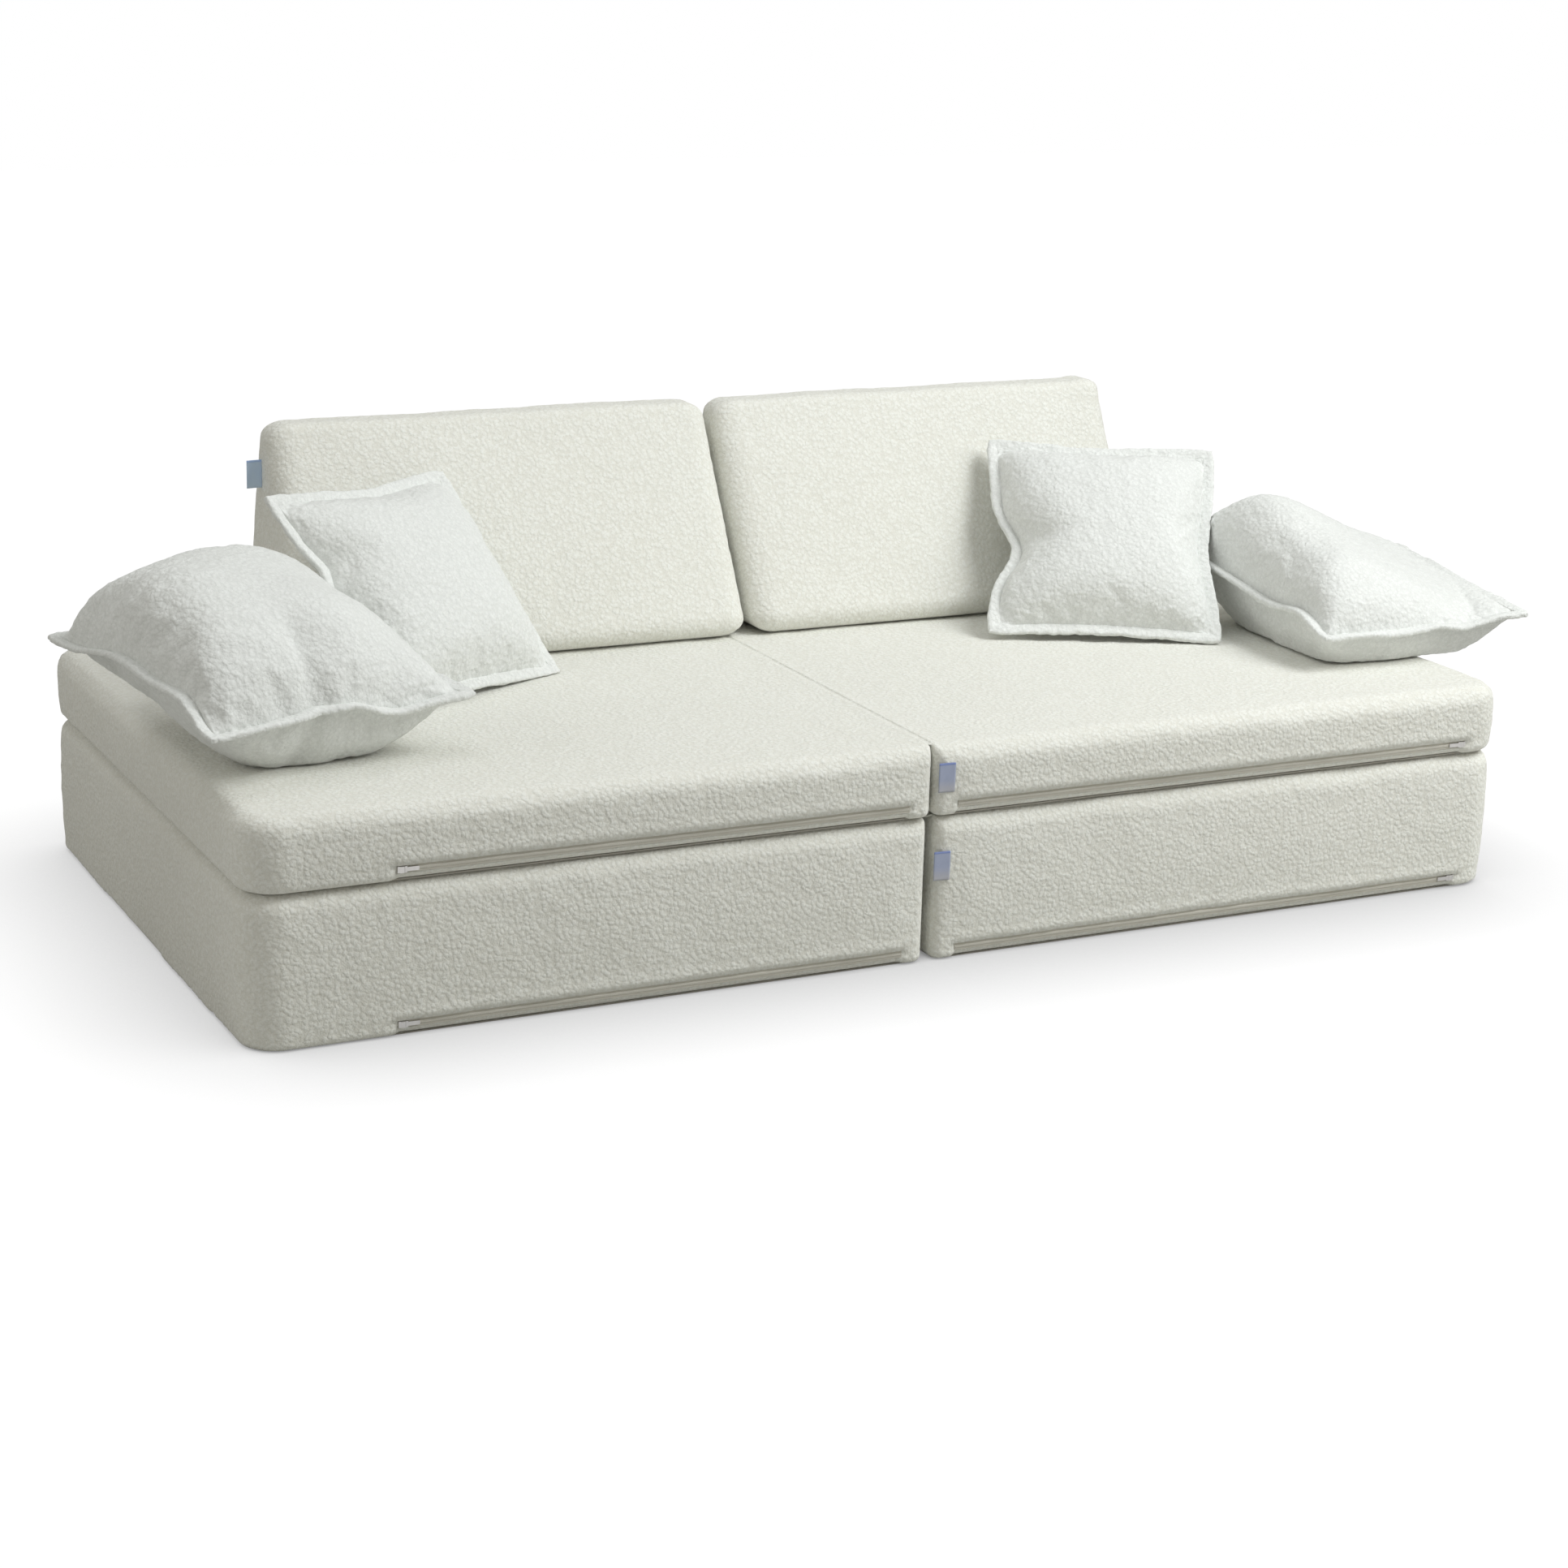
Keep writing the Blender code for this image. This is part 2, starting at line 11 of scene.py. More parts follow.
import bmesh
import bpy
import numpy as np
from mathutils import Matrix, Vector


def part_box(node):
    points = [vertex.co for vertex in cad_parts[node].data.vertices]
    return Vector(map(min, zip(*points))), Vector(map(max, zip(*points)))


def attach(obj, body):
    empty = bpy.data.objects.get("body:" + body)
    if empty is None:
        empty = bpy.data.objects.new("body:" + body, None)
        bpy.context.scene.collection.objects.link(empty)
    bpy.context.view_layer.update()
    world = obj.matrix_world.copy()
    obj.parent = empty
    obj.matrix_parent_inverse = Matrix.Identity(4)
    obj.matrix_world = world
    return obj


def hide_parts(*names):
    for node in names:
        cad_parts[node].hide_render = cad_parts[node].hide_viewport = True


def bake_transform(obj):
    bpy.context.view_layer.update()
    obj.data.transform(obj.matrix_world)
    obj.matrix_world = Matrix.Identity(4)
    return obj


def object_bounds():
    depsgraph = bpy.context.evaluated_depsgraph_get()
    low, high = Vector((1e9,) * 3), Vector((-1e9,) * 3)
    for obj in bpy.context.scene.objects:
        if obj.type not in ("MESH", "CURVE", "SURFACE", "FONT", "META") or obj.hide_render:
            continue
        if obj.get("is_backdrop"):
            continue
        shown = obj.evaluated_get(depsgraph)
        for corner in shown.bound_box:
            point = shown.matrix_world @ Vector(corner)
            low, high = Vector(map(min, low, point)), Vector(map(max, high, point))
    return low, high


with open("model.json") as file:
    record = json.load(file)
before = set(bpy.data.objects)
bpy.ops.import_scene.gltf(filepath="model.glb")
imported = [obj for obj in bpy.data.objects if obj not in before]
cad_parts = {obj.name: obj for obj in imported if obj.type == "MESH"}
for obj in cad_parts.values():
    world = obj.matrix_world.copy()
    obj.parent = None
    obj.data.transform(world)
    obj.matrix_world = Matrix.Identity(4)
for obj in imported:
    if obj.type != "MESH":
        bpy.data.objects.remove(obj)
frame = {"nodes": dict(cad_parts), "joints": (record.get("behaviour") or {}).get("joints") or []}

scene = bpy.context.scene
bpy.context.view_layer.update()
joints = {joint["name"]: joint for joint in frame["joints"]}
SOFA_MIDDLE = np.array([*joints["base_fold"]["pos_m"][:2], 0.0])
print("packed nodes:", len(frame["nodes"]), "sofa's middle:", SOFA_MIDDLE)

# %% [markdown]
# ## The camera
# The camera stands where the photograph was taken from: in front of the left half, at about chest height.
# Its place was found from the vanishing lines of the two mattresses. A lens of 73 mm on a 36 mm sensor
# gives the mild perspective of a product picture.

# %% Camera
SENSOR_MM, FOCAL_PIXELS, PICTURE_PIXELS = 36.0, 3915.14, 1932
CAMERA_PLACE = np.array([-1.77599, -3.55697, 1.27261])
CAMERA_RIGHT = (0.8968375, -0.4414968, 0.0276241)
CAMERA_UP = (0.1004943, 0.2641579, 0.9592297)
CAMERA_BACK = (-0.4307939, -0.8574971, 0.2812746)


def add_object(name, data):
    made = bpy.data.objects.new(name, data)
    scene.collection.objects.link(made)
    return made


def stand(thing, place, right, up, back):
    """Puts a camera or a lamp at a place, with its own x, y and z along right, up and back."""
    thing.matrix_world = Matrix.Translation(place) @ Matrix((right, up, back)).transposed().to_4x4()


camera = add_object("photo_camera", bpy.data.cameras.new("photo_camera"))
camera.data.lens = SENSOR_MM * FOCAL_PIXELS / PICTURE_PIXELS
stand(camera, CAMERA_PLACE + SOFA_MIDDLE, CAMERA_RIGHT, CAMERA_UP, CAMERA_BACK)
scene.camera = camera
scene.view_settings.view_transform = "Standard"
print("camera at", [round(value, 3) for value in camera.location], "lens", round(camera.data.lens, 1), "mm")

# %% [markdown]
# ## Shader sums as Python sums
# A cloth's pattern is a sum of noises, and it reads best as a sum. A Wire holds one output of a node, and
# its + - * and ** add Math nodes. Nodes holds a tree: its node() adds any node, with the settings first
# and then the values or wires of the sockets.

# %% Wire and Nodes
def math_method(operation, swapped=False):
    """A method of Wire that adds a Math node, with its two values swapped for a sum like 1 - wire."""
    def method(wire, other):
        values = (other, wire) if swapped else (wire, other)
        return wire.nodes.math(operation, *values)
    return method


class Wire:
    """One output of a node, on which Python's sums add Math nodes."""

    def __init__(self, nodes, socket):
        self.nodes = nodes
        self.socket = socket

    __add__ = __radd__ = math_method("ADD")
    __mul__ = __rmul__ = math_method("MULTIPLY")
    __sub__, __rsub__ = math_method("SUBTRACT"), math_method("SUBTRACT", swapped=True)
    __pow__ = math_method("POWER")


class Nodes:
    """A tree of nodes."""

    def __init__(self, tree):
        self.tree = tree

    def join(self, socket, value):
        if isinstance(value, Wire):
            self.tree.links.new(value.socket, socket)
        else:
            socket.default_value = value

    def node(self, kind, settings, inputs, output=0):
        made = self.tree.nodes.new(kind)
        for name, value in settings.items():
            setattr(made, name, value)
        for key, value in inputs.items():
            self.join(made.inputs[key], value)
        return Wire(self, made.outputs[output])

    def math(self, operation, first, second=0.0):
        return self.node("ShaderNodeMath", {"operation": operation}, {0: first, 1: second})

    def vector_math(self, operation, first, second, socket=1):
        return self.node("ShaderNodeVectorMath", {"operation": operation}, {0: first, socket: second})

    def seen_directly(self):
        """1 for camera, glossy and transmission rays, which find the studio white, and 0 for all others."""
        camera_ray, glossy_ray, through_ray = (
            self.node("ShaderNodeLightPath", {}, {}, "Is %s Ray" % kind)
            for kind in ("Camera", "Glossy", "Transmission"))
        return self.math("MAXIMUM", camera_ray, self.math("MAXIMUM", glossy_ray, through_ray))


print("Nodes has", [name for name in vars(Nodes) if not name.startswith("_")])

# %% [markdown]
# ## Finishes
# A Finish is the tree of one material. Its noises, cells and steps take sizes in metres, so that a cloth's
# curl or thread can be given as it is measured.

# %% Finish
def opaque(red, green, blue):
    return (red, green, blue, 1.0)


class Finish(Nodes):
    """A material with a Principled shader, and the nodes that feed it."""

    def __init__(self, name, **values):
        self.material = bpy.data.materials.new(name)
        self.material.use_nodes = True
        super().__init__(self.material.node_tree)
        self.shader = self.tree.nodes["Principled BSDF"]
        for socket, value in values.items():
            self.feed(socket.replace("_", " "), value)

    def feed(self, socket, value):
        self.join(self.shader.inputs[socket], value)

    def place(self, output="Object"):
        return self.node("ShaderNodeTexCoord", {}, {}, output)

    def split(self, where):
        """The x, y and z of a place."""
        parts = self.node("ShaderNodeSeparateXYZ", {}, {0: where}).socket.node
        return [Wire(self, output) for output in parts.outputs]

    def drawn_out(self, where, share):
        """where with its x shrunk to a share, which draws a pattern out along x."""
        return self.node("ShaderNodeMapping", {}, {"Vector": where, "Scale": (share, 1.0, 1.0)})

    def noise(self, where, size, detail=2.0, output=0, rough=0.5):
        """Soft noise whose lumps are about size metres wide, from 0 to 1."""
        return self.node("ShaderNodeTexNoise", {}, {"Vector": where, "Scale": 0.6 / size,
                                                    "Detail": detail, "Roughness": rough}, output)

    def cells(self, where, size):
        """Distance from the middle of the nearest cell, in cells, where cells are about size metres wide."""
        return self.node("ShaderNodeTexVoronoi", {"feature": "SMOOTH_F1"},
                         {"Vector": where, "Scale": 1 / size, "Smoothness": 0.35})

    def drift(self, where, size, reach):
        """where, pushed about by a coarse noise so that a pattern on it doesn't lie in rows."""
        push = self.vector_math("SUBTRACT", self.noise(where, size, 1.0, 1), (0.5, 0.5, 0.5))
        return self.vector_math("ADD", where, self.vector_math("SCALE", push, reach, "Scale"))

    def rise(self, value, low, high):
        """0 below low, 1 above high and an S between."""
        return self.node("ShaderNodeMapRange", {"interpolation_type": "SMOOTHSTEP"},
                         {"Value": value, "From Min": low, "From Max": high})

    def mix(self, share, first, second):
        """A colour between two, each of which is a wire or its red, green and blue."""
        first, second = (end if isinstance(end, Wire) else opaque(*end) for end in (first, second))
        return self.node("ShaderNodeMix", {"data_type": "RGBA"}, {0: share, 6: first, 7: second}, 2)

    def done(self, colour, height, depth):
        """The material, with its colour and with bumps of depth metres from a height between 0 and 1."""
        self.feed("Base Color", colour)
        self.feed("Normal", self.node("ShaderNodeBump", {}, {"Height": height, "Distance": depth,
                                                             "Strength": 1.0}))
        return self.material


print("a Finish has", [name for name in vars(Finish) if not name.startswith("_")])

# %% [markdown]
# ## Looped cloth
# Boucle is woven from a yarn with small curls that stand up in heaps 5 to 8 mm wide. Light catches the tops,
# and the hollows between them are in shade. That shade is also painted into the colour, which is darker
# where the heaps are low. Cells that are pushed about by a noise give the heaps, a finer noise gives the
# yarn, and the finest one its hairs, which also vary the tone at random. A little sheen lightens the edges,
# as standing fibres do. The pillows have the same cloth in a cooler tone.

# %% Boucle
CURL_DEPTH, HAND_WIDTH = 0.0016, 0.09


def looped_cloth(name, hollow_shade_and_dark_yarn, top, curl, mottle):
    """Looped cloth with curls curl metres wide, darker in the hollows between curls as painted shade. mottle
    is how far its tone drifts over a hand's width.
    """
    cloth = Finish(name, Roughness=0.96, Sheen_Weight=0.22, Sheen_Roughness=0.45, Specular_IOR_Level=0.15)
    where = cloth.place()
    bent = cloth.drift(where, 1.3 * curl, 0.8 * curl)
    heaps = 1 - cloth.rise(cloth.cells(bent, curl), 0.10, 0.85)
    yarn = cloth.noise(bent, 0.36 * curl, 3.0, rough=0.6)
    strand = cloth.noise(where, 0.20 * curl)
    height = heaps * 0.44 + yarn * 0.34 + strand * 0.30
    # Painted shade: the tone follows the curls' height, so the hollows get the darker colour. The finest
    # noise and the mottle add random tone.
    tone = cloth.rise(height, 0.35, 0.80) * 0.55 + cloth.rise(strand, 0.36, 0.64) * 0.45
    tone = tone * (1 - mottle) + cloth.noise(where, HAND_WIDTH) * mottle
    return cloth.done(cloth.mix(tone, hollow_shade_and_dark_yarn, top), height, CURL_DEPTH)


# The hollow colours are painted shade for the hollows between curls, and also the tone of darker yarn.
BOUCLE = looped_cloth("boucle", hollow_shade_and_dark_yarn=(0.760, 0.752, 0.682), top=(0.900, 0.910, 0.868),
                      curl=0.0056, mottle=0.20)
PILLOW_BOUCLE = looped_cloth("pillow_boucle", hollow_shade_and_dark_yarn=(0.745, 0.760, 0.738), top=(0.880, 0.897, 0.878),
                             curl=0.0058, mottle=0.24)
print("made", BOUCLE.name, "and", PILLOW_BOUCLE.name)

# %% [markdown]
# ## Lining, foam and fibre
# Under each mattress lies a plain woven lining. Its threads are two waves that cross. Cut foam is a froth
# of small cells, and the pillows' fibre is a cloud of fine strands, which noise with stretched
# coordinates gives.

# %% Lining, foam and fibre
def woven_cloth(name, dark, light, thread, depth):
    """A plain weave: over one thread and under the next, as the product of two crossed sine waves."""
    cloth = Finish(name, Roughness=0.9)
    where = cloth.place()
    x, y, z = cloth.split(where)
    warp, weft = (cloth.math("SINE", along * (math.pi / thread)) for along in (x, y + z))
    height = warp * weft * 0.5 + 0.5
    tone = height * 0.6 + cloth.noise(where, 0.02, 3.0) * 0.4
    return cloth.done(cloth.mix(tone, dark, light), height, depth)


def froth(name, dark, light, cell, depth):
    """Cut foam: open cells about cell metres wide with thin walls between."""
    foam = Finish(name, Roughness=0.95)
    where = foam.place()
    walls = foam.cells(where, cell)
    tone = foam.rise(walls, 0.1, 0.7) * 0.7 + foam.noise(where, 0.04) * 0.3
    return foam.done(foam.mix(tone, dark, light), walls, depth)


def strands(name, dark, light, width, depth):
    """Loose fibre: noise drawn out ten times along one axis."""
    fibre = Finish(name, Roughness=0.9, Sheen_Weight=0.3)
    where = fibre.drawn_out(fibre.drift(fibre.place(), 0.03, 0.02), 0.1)
    hairs = fibre.noise(where, width, 4.0)
    return fibre.done(fibre.mix(hairs, dark, light), hairs, depth)


LINING = woven_cloth("lining", (0.34, 0.32, 0.28), (0.56, 0.54, 0.49), thread=0.0011, depth=0.0004)
FOAM = froth("foam", (0.66, 0.62, 0.50), (0.88, 0.85, 0.74), cell=0.0016, depth=0.0005)
FIBRE = strands("fibre", (0.74, 0.74, 0.72), (0.93, 0.93, 0.92), width=0.0012, depth=0.0008)
print("made", LINING.name, FOAM.name, FIBRE.name)

# %% [markdown]
# ## Zip tape and metal
# The zips are tone in tone with the cover: a herringbone tape and a fine coil of teeth. The tape's pattern
# follows the zip's own length, so it reads a UV map in millimetres along and across the run. The sliders
# are cast metal with a satin surface, worn a little unevenly.

# %% Zip and slider finishes
RIB_MM = 0.9


def zip_tape(name):
    """Herringbone: slanted ribs that lean one way on one side of the teeth and the other way beyond."""
    tape = Finish(name, Roughness=0.75)
    along, across = tape.split(tape.place("UV"))[:2]
    away = tape.math("ABSOLUTE", across)
    ribs = tape.math("SINE", (along + away) * (2 * math.pi / RIB_MM))
    teeth = 1 - tape.rise(away, 1.6, 2.0)
    height = (ribs * 0.5 + 0.5) * (1 - teeth) * 0.35 + teeth * 0.8
    shade = tape.mix(tape.noise(tape.place(), 0.012, 3.0), (0.60, 0.575, 0.50), (0.70, 0.675, 0.60))
    tape.feed("Roughness", 0.8 - teeth * 0.35)
    return tape.done(tape.mix(teeth, shade, (0.64, 0.62, 0.55)), height, 0.0004)


def cast_metal(name):
    """Satin metal: one tone whose roughness and tint drift, with fine scratches along the pull."""
    metal = Finish(name, Metallic=1.0)
    where = metal.place()
    scratches = metal.noise(metal.drawn_out(where, 0.15), 0.0004, 3.0)
    metal.feed("Roughness", 0.28 + scratches * 0.22)
    tint = metal.mix(metal.noise(where, 0.004), (0.44, 0.43, 0.41), (0.60, 0.59, 0.57))
    return metal.done(tint, scratches, 0.00006)


ZIP_TAPE, ZIP_METAL = zip_tape("zip_cloth"), cast_metal("zip_metal")
print("made", ZIP_TAPE.name, ZIP_METAL.name)

# %% [markdown]
# ## Meshes from arrays
# A surface is worked out as whole arrays: rows of points, and faces as rows of point numbers. Soft things
# need a little unevenness too: lumps() is a noise that is the same on every run, because its random
# numbers come from a fixed seed.

# %% Mesh helpers
SHARP_ANGLE = math.radians(50)


def get_rows(items, attribute, width=3, kind=np.float32):
    """An attribute of all of a mesh's items, as rows of width numbers."""
    values = np.empty(len(items) * width, kind)
    items.foreach_get(attribute, values)
    return values.reshape(-1, width)


def get_points(mesh):
    return get_rows(mesh.vertices, "co").astype(float)


def get_normals(mesh):
    return get_rows(mesh.vertex_normals, "vector").astype(float)


def set_points(mesh, points):
    mesh.vertices.foreach_set("co", points.astype(np.float32).ravel())
    mesh.update()


def make_mesh(name, points, faces, material):
    """A smooth mesh from an array of points and a list of arrays of faces."""
    mesh = bpy.data.meshes.new(name)
    mesh.from_pydata(points.tolist(), [], [face for rows in faces for face in rows.tolist()])
    mesh.shade_smooth()
    mesh.materials.append(material)
    return mesh


def make_piece(name, points, faces, material, uv=None):
    """A mesh object in a material slot, with a UV place for each point where uv has them."""
    piece = add_object(name, make_mesh(name, points, faces, material))
    if uv is not None:
        corners = get_rows(piece.data.loops, "vertex_index", 1, np.int32).ravel()
        layer = piece.data.uv_layers.new(name="run")
        layer.data.foreach_set("uv", uv[corners].astype(np.float32).ravel())
    return piece


def padded_piece(piece, name, node):
    """Hides the node of a module that a padded piece takes the place of, and lets the piece ride on the
    module's body.
    """
    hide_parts(name + node)
    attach(piece, name)
    print(piece.name, len(piece.data.polygons), "faces")


def turn_outwards(mesh):
    """Turns every face of a closed mesh to face out of it."""
    work = bmesh.new()
    work.from_mesh(mesh)
    bmesh.ops.recalc_face_normals(work, faces=work.faces)
    work.to_mesh(mesh)
    work.free()


def smooth(value, low, high):
    """0 below low, 1 above high and an S between, for arrays."""
    part = np.clip((value - low) / (high - low), 0, 1)
    return part * part * (3 - 2 * part)


NOISE = np.random.default_rng(7).random((32, 32, 32))


def lumps(points, size, shift=0.0):
    """Noise from -1 to 1 with lumps of size metres: random values on a lattice, eased between with an S."""
    spot = points / size + shift
    cell = np.floor(spot).astype(int)
    part = spot - cell
    part = part * part * (3 - 2 * part)
    total = np.zeros(len(points))
    for corner in np.ndindex(2, 2, 2):
        weight = np.prod(np.where(np.array(corner) == 1, part, 1 - part), axis=1)
        i, j, k = ((cell + corner) % len(NOISE)).T
        total += weight * NOISE[i, j, k]
    return 2 * total - 1


def layered_lumps(points, *layers):
    """A sum of lumps from layers that each have a height, a size and a shift."""
    return sum(height * lumps(points, size, shift) for height, size, shift in layers)


print("lumps of 1 m at three points:", lumps(np.array([[0, 0, 0], [0.5, 0, 0], [1, 0, 0]]), 1.0).round(2))

# %% [markdown]
# ## Outlines with soft corners
# A surface here is a stack of closed loops of points: walls run between the loops, and a patch closes each
# end. A block seen from above and a wedge seen from its end are both four-sided, with rounded corners. The
# outline's sides can each be drawn in by a length of their own, which is how an edge is rounded: loop
# after loop draws in along a quarter circle. The points start at the middle of the first corner, so four
# stretches with fixed counts of points make four edges of a patch.

# %% Outline loops
def outline_loops(corners, insets, radii, fractions, bend):
    """Loops of points round a four-sided outline, one for each row of insets and radii.

    A corner's arc of radius r has its middle r / sin(half the corner's angle) along the line that halves
    the corner, and covers 180 degrees less the corner's angle. fractions hold where the points lie
    along each straight stretch, and each half of an arc has bend points.
    """
    corners = np.asarray(corners, float)
    ahead = np.roll(corners, -1, 0) - corners
    ahead /= np.linalg.norm(ahead, axis=1, keepdims=True)
    inward = np.stack([-ahead[:, 1], ahead[:, 0]], 1)
    arcs = []
    for k in range(4):
        sides = np.array([inward[k], inward[k - 1]])
        shift = np.stack([insets[:, k], insets[:, k - 1]], 1) @ np.linalg.inv(sides).T
        halving = ahead[k] - ahead[k - 1]
        halving /= np.linalg.norm(halving)
        half = math.acos(np.clip(ahead[k] @ halving, -1, 1))
        middle = corners[k] + shift + halving * (radii[:, k] / math.sin(half))[:, None]
        first = math.atan2(-inward[k - 1][1], -inward[k - 1][0])
        angle = first + (math.pi - 2 * half) * np.linspace(0, 1, 2 * bend + 1)
        spokes = np.stack([np.cos(angle), np.sin(angle)], 1)
        arcs.append(middle[:, None, :] + radii[:, k][:, None, None] * spokes)
    stretches = []
    for k in range(4):
        here, there = arcs[k], arcs[(k + 1) % 4]
        part = np.asarray(fractions[k])[None, :, None]
        straight = here[:, -1:, :] * (1 - part) + there[:, :1, :] * part
        stretches += [here[:, bend:-1, :], straight, there[:, :bend, :]]
    return np.concatenate(stretches, 1)


def even(count):
    """count fractions from 0 on, evenly spaced, with 1 left to the next stretch."""
    return np.linspace(0, 1, count, endpoint=False)


def with_level(flat, levels, first=False):
    """Loops of flat points with a third coordinate, one level for each loop."""
    column = np.broadcast_to(levels[:, None, None], flat.shape[:2] + (1,))
    return np.concatenate([column, flat] if first else [flat, column], 2)


print("four even fractions:", even(4))

# %% [markdown]
# ## Closed surfaces
# A patch fills a loop from its four edges. Walls and two patches close a stack of loops. A narrow tube is
# closed by fans of triangles instead.

# %% Stacks and tubes
def four_edges(loop, along, up):
    """The low, right, high and left edge of a closed loop, with along, up, along and up stretches."""
    turn = 2 * along + up
    return (loop[:along + 1], loop[along:along + up + 1], loop[along + up:turn + 1][::-1],
            np.concatenate([loop[turn:], loop[:1]])[::-1])


def patch(loop, along, up):
    """Points inside a closed loop with four edges.

    Each point is the mean of where the two pairs of facing edges would put it, less the mean of the
    corners, which is the sum of two ruled surfaces without the one that they share.
    """
    def shares(edge):
        length = np.concatenate([[0], np.cumsum(np.linalg.norm(np.diff(edge, axis=0), axis=1))])
        return length / length[-1]

    low, right, high, left = four_edges(loop, along, up)
    u = ((shares(low) + shares(high)) / 2)[None, :, None]
    v = ((shares(left) + shares(right)) / 2)[:, None, None]
    ruled = (1 - v) * low[None] + v * high[None] + (1 - u) * left[:, None] + u * right[:, None]
    corners = (1 - v) * ((1 - u) * low[0] + u * low[-1]) + v * ((1 - u) * high[0] + u * high[-1])
    return ruled - corners


def grid_faces(numbers):
    """Four-sided faces between the neighbours in a grid of point numbers."""
    return np.stack([numbers[:-1, :-1], numbers[:-1, 1:], numbers[1:, 1:], numbers[1:, :-1]],
                    -1).reshape(-1, 4)


def walls(numbers):
    """Faces between loops of point numbers, each of which closes on its first point."""
    return grid_faces(np.concatenate([numbers, numbers[:, :1]], 1))


def grid_rim(numbers):
    """The point numbers round the rim of a grid."""
    return np.concatenate([numbers[0, :-1], numbers[:-1, -1], numbers[-1, :0:-1], numbers[:0:-1, 0]])


def closed_stack(loops, along, up):
    """Points and faces of a stack of loops, walled between and patched at both ends."""
    rows, count = loops.shape[:2]
    numbers = np.arange(rows * count).reshape(rows, count)
    faces, points = [walls(numbers)], [loops.reshape(-1, 3)]
    inside = (up - 1, along - 1)
    for row, first, order in ((0, rows * count, -1), (-1, rows * count + math.prod(inside), 1)):
        filled = np.empty((up + 1, along + 1), int)
        filled[0], filled[:, -1], filled[-1], filled[:, 0] = four_edges(numbers[row], along, up)
        filled[1:-1, 1:-1] = first + np.arange(math.prod(inside)).reshape(inside)
        points.append(patch(loops[row], along, up)[1:-1, 1:-1].reshape(-1, 3))
        faces.append(grid_faces(filled)[:, ::order])
    return np.concatenate(points), faces


def tube(name, rings, material, uv=None):
    """A closed tube through rings of points, with a fan of triangles over each end."""
    def with_middles(rows):
        return np.concatenate([rows.reshape(-1, rows.shape[-1]), rows.mean(1)[[0, -1]]])

    rows, count = rings.shape[:2]
    numbers = np.arange(rows * count).reshape(rows, count)
    faces = [walls(numbers)]
    for ring, middle, order in ((numbers[0], rows * count, -1), (numbers[-1], rows * count + 1, 1)):
        faces.append(np.stack([ring, np.roll(ring, -1), np.full(count, middle)], 1)[:, ::order])
    piece = make_piece(name, with_middles(rings), faces, material,
                       None if uv is None else with_middles(uv))
    piece.data.set_sharp_from_angle(angle=SHARP_ANGLE)
    return piece


print("a grid of 3 by 3 points has the rim", grid_rim(np.arange(9).reshape(3, 3)))

# %% [markdown]
# ## Sizes that the model gives
# The solids in the packed model carry the sizes of the blocks. These are read from their boxes, so that
# the soft surfaces always fit the solids. An outline's sides count from the front, anticlockwise, and each
# mattress half folds at the side that faces the other half.

# %% Sizes
OUTER_CORNER_RADIUS, FOLD_CORNER_RADIUS = 0.045, 0.014
TOP_EDGE_RADIUS, FOLD_EDGE_RADIUS, BOTTOM_EDGE_RADIUS = 0.022, 0.005, 0.008
CLOTH, ZIP_BAND = 0.003, 0.0094
RIGHT_SIDE, LEFT_SIDE = 1, 3
HALVES = {"base_left": RIGHT_SIDE, "base_right": LEFT_SIDE, "seat_left": RIGHT_SIDE, "seat_right": LEFT_SIDE}


def node_box(name):
    low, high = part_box(name)
    return np.array(low), np.array(high)


def rectangle(low, high):
    return [(low[0], low[1]), (high[0], low[1]), (high[0], high[1]), (low[0], high[1])]


def corner_radii(fold_side, at_fold, elsewhere):
    """The radii of a block's four corners, two of which lie at its fold."""
    return np.array([at_fold if k in (fold_side, (fold_side + 1) % 4) else elsewhere for k in range(4)])


def along_zip(x, first, last):
    """1 along a zip's run from first to last, and 0 beyond its ends."""
    return smooth(x, first - 0.004, first + 0.001) * (1 - smooth(x, last - 0.001, last + 0.004))


SEAT_TOP = node_box("seat_left_cover")[1][2]
print("seat top at", round(SEAT_TOP, 4), "m")

# %% [markdown]
# ## Mattress halves
# Each half is a foam block in a boucle cover. The foam fills the cover tightly, so the sides swell by a
# few millimetres at half height and the outer corners are soft. The zip runs in a recess low on the
# front. The side that folds has small edges, so that the tops of both halves meet in a narrow crease.

# %% Blocks
ROW_PITCH = 0.006
COVER_POINTS, COVER_BEND, FOAM_POINTS, FOAM_BEND = 140, 7, 24, 3
FOAM_SHRINK = 0.998


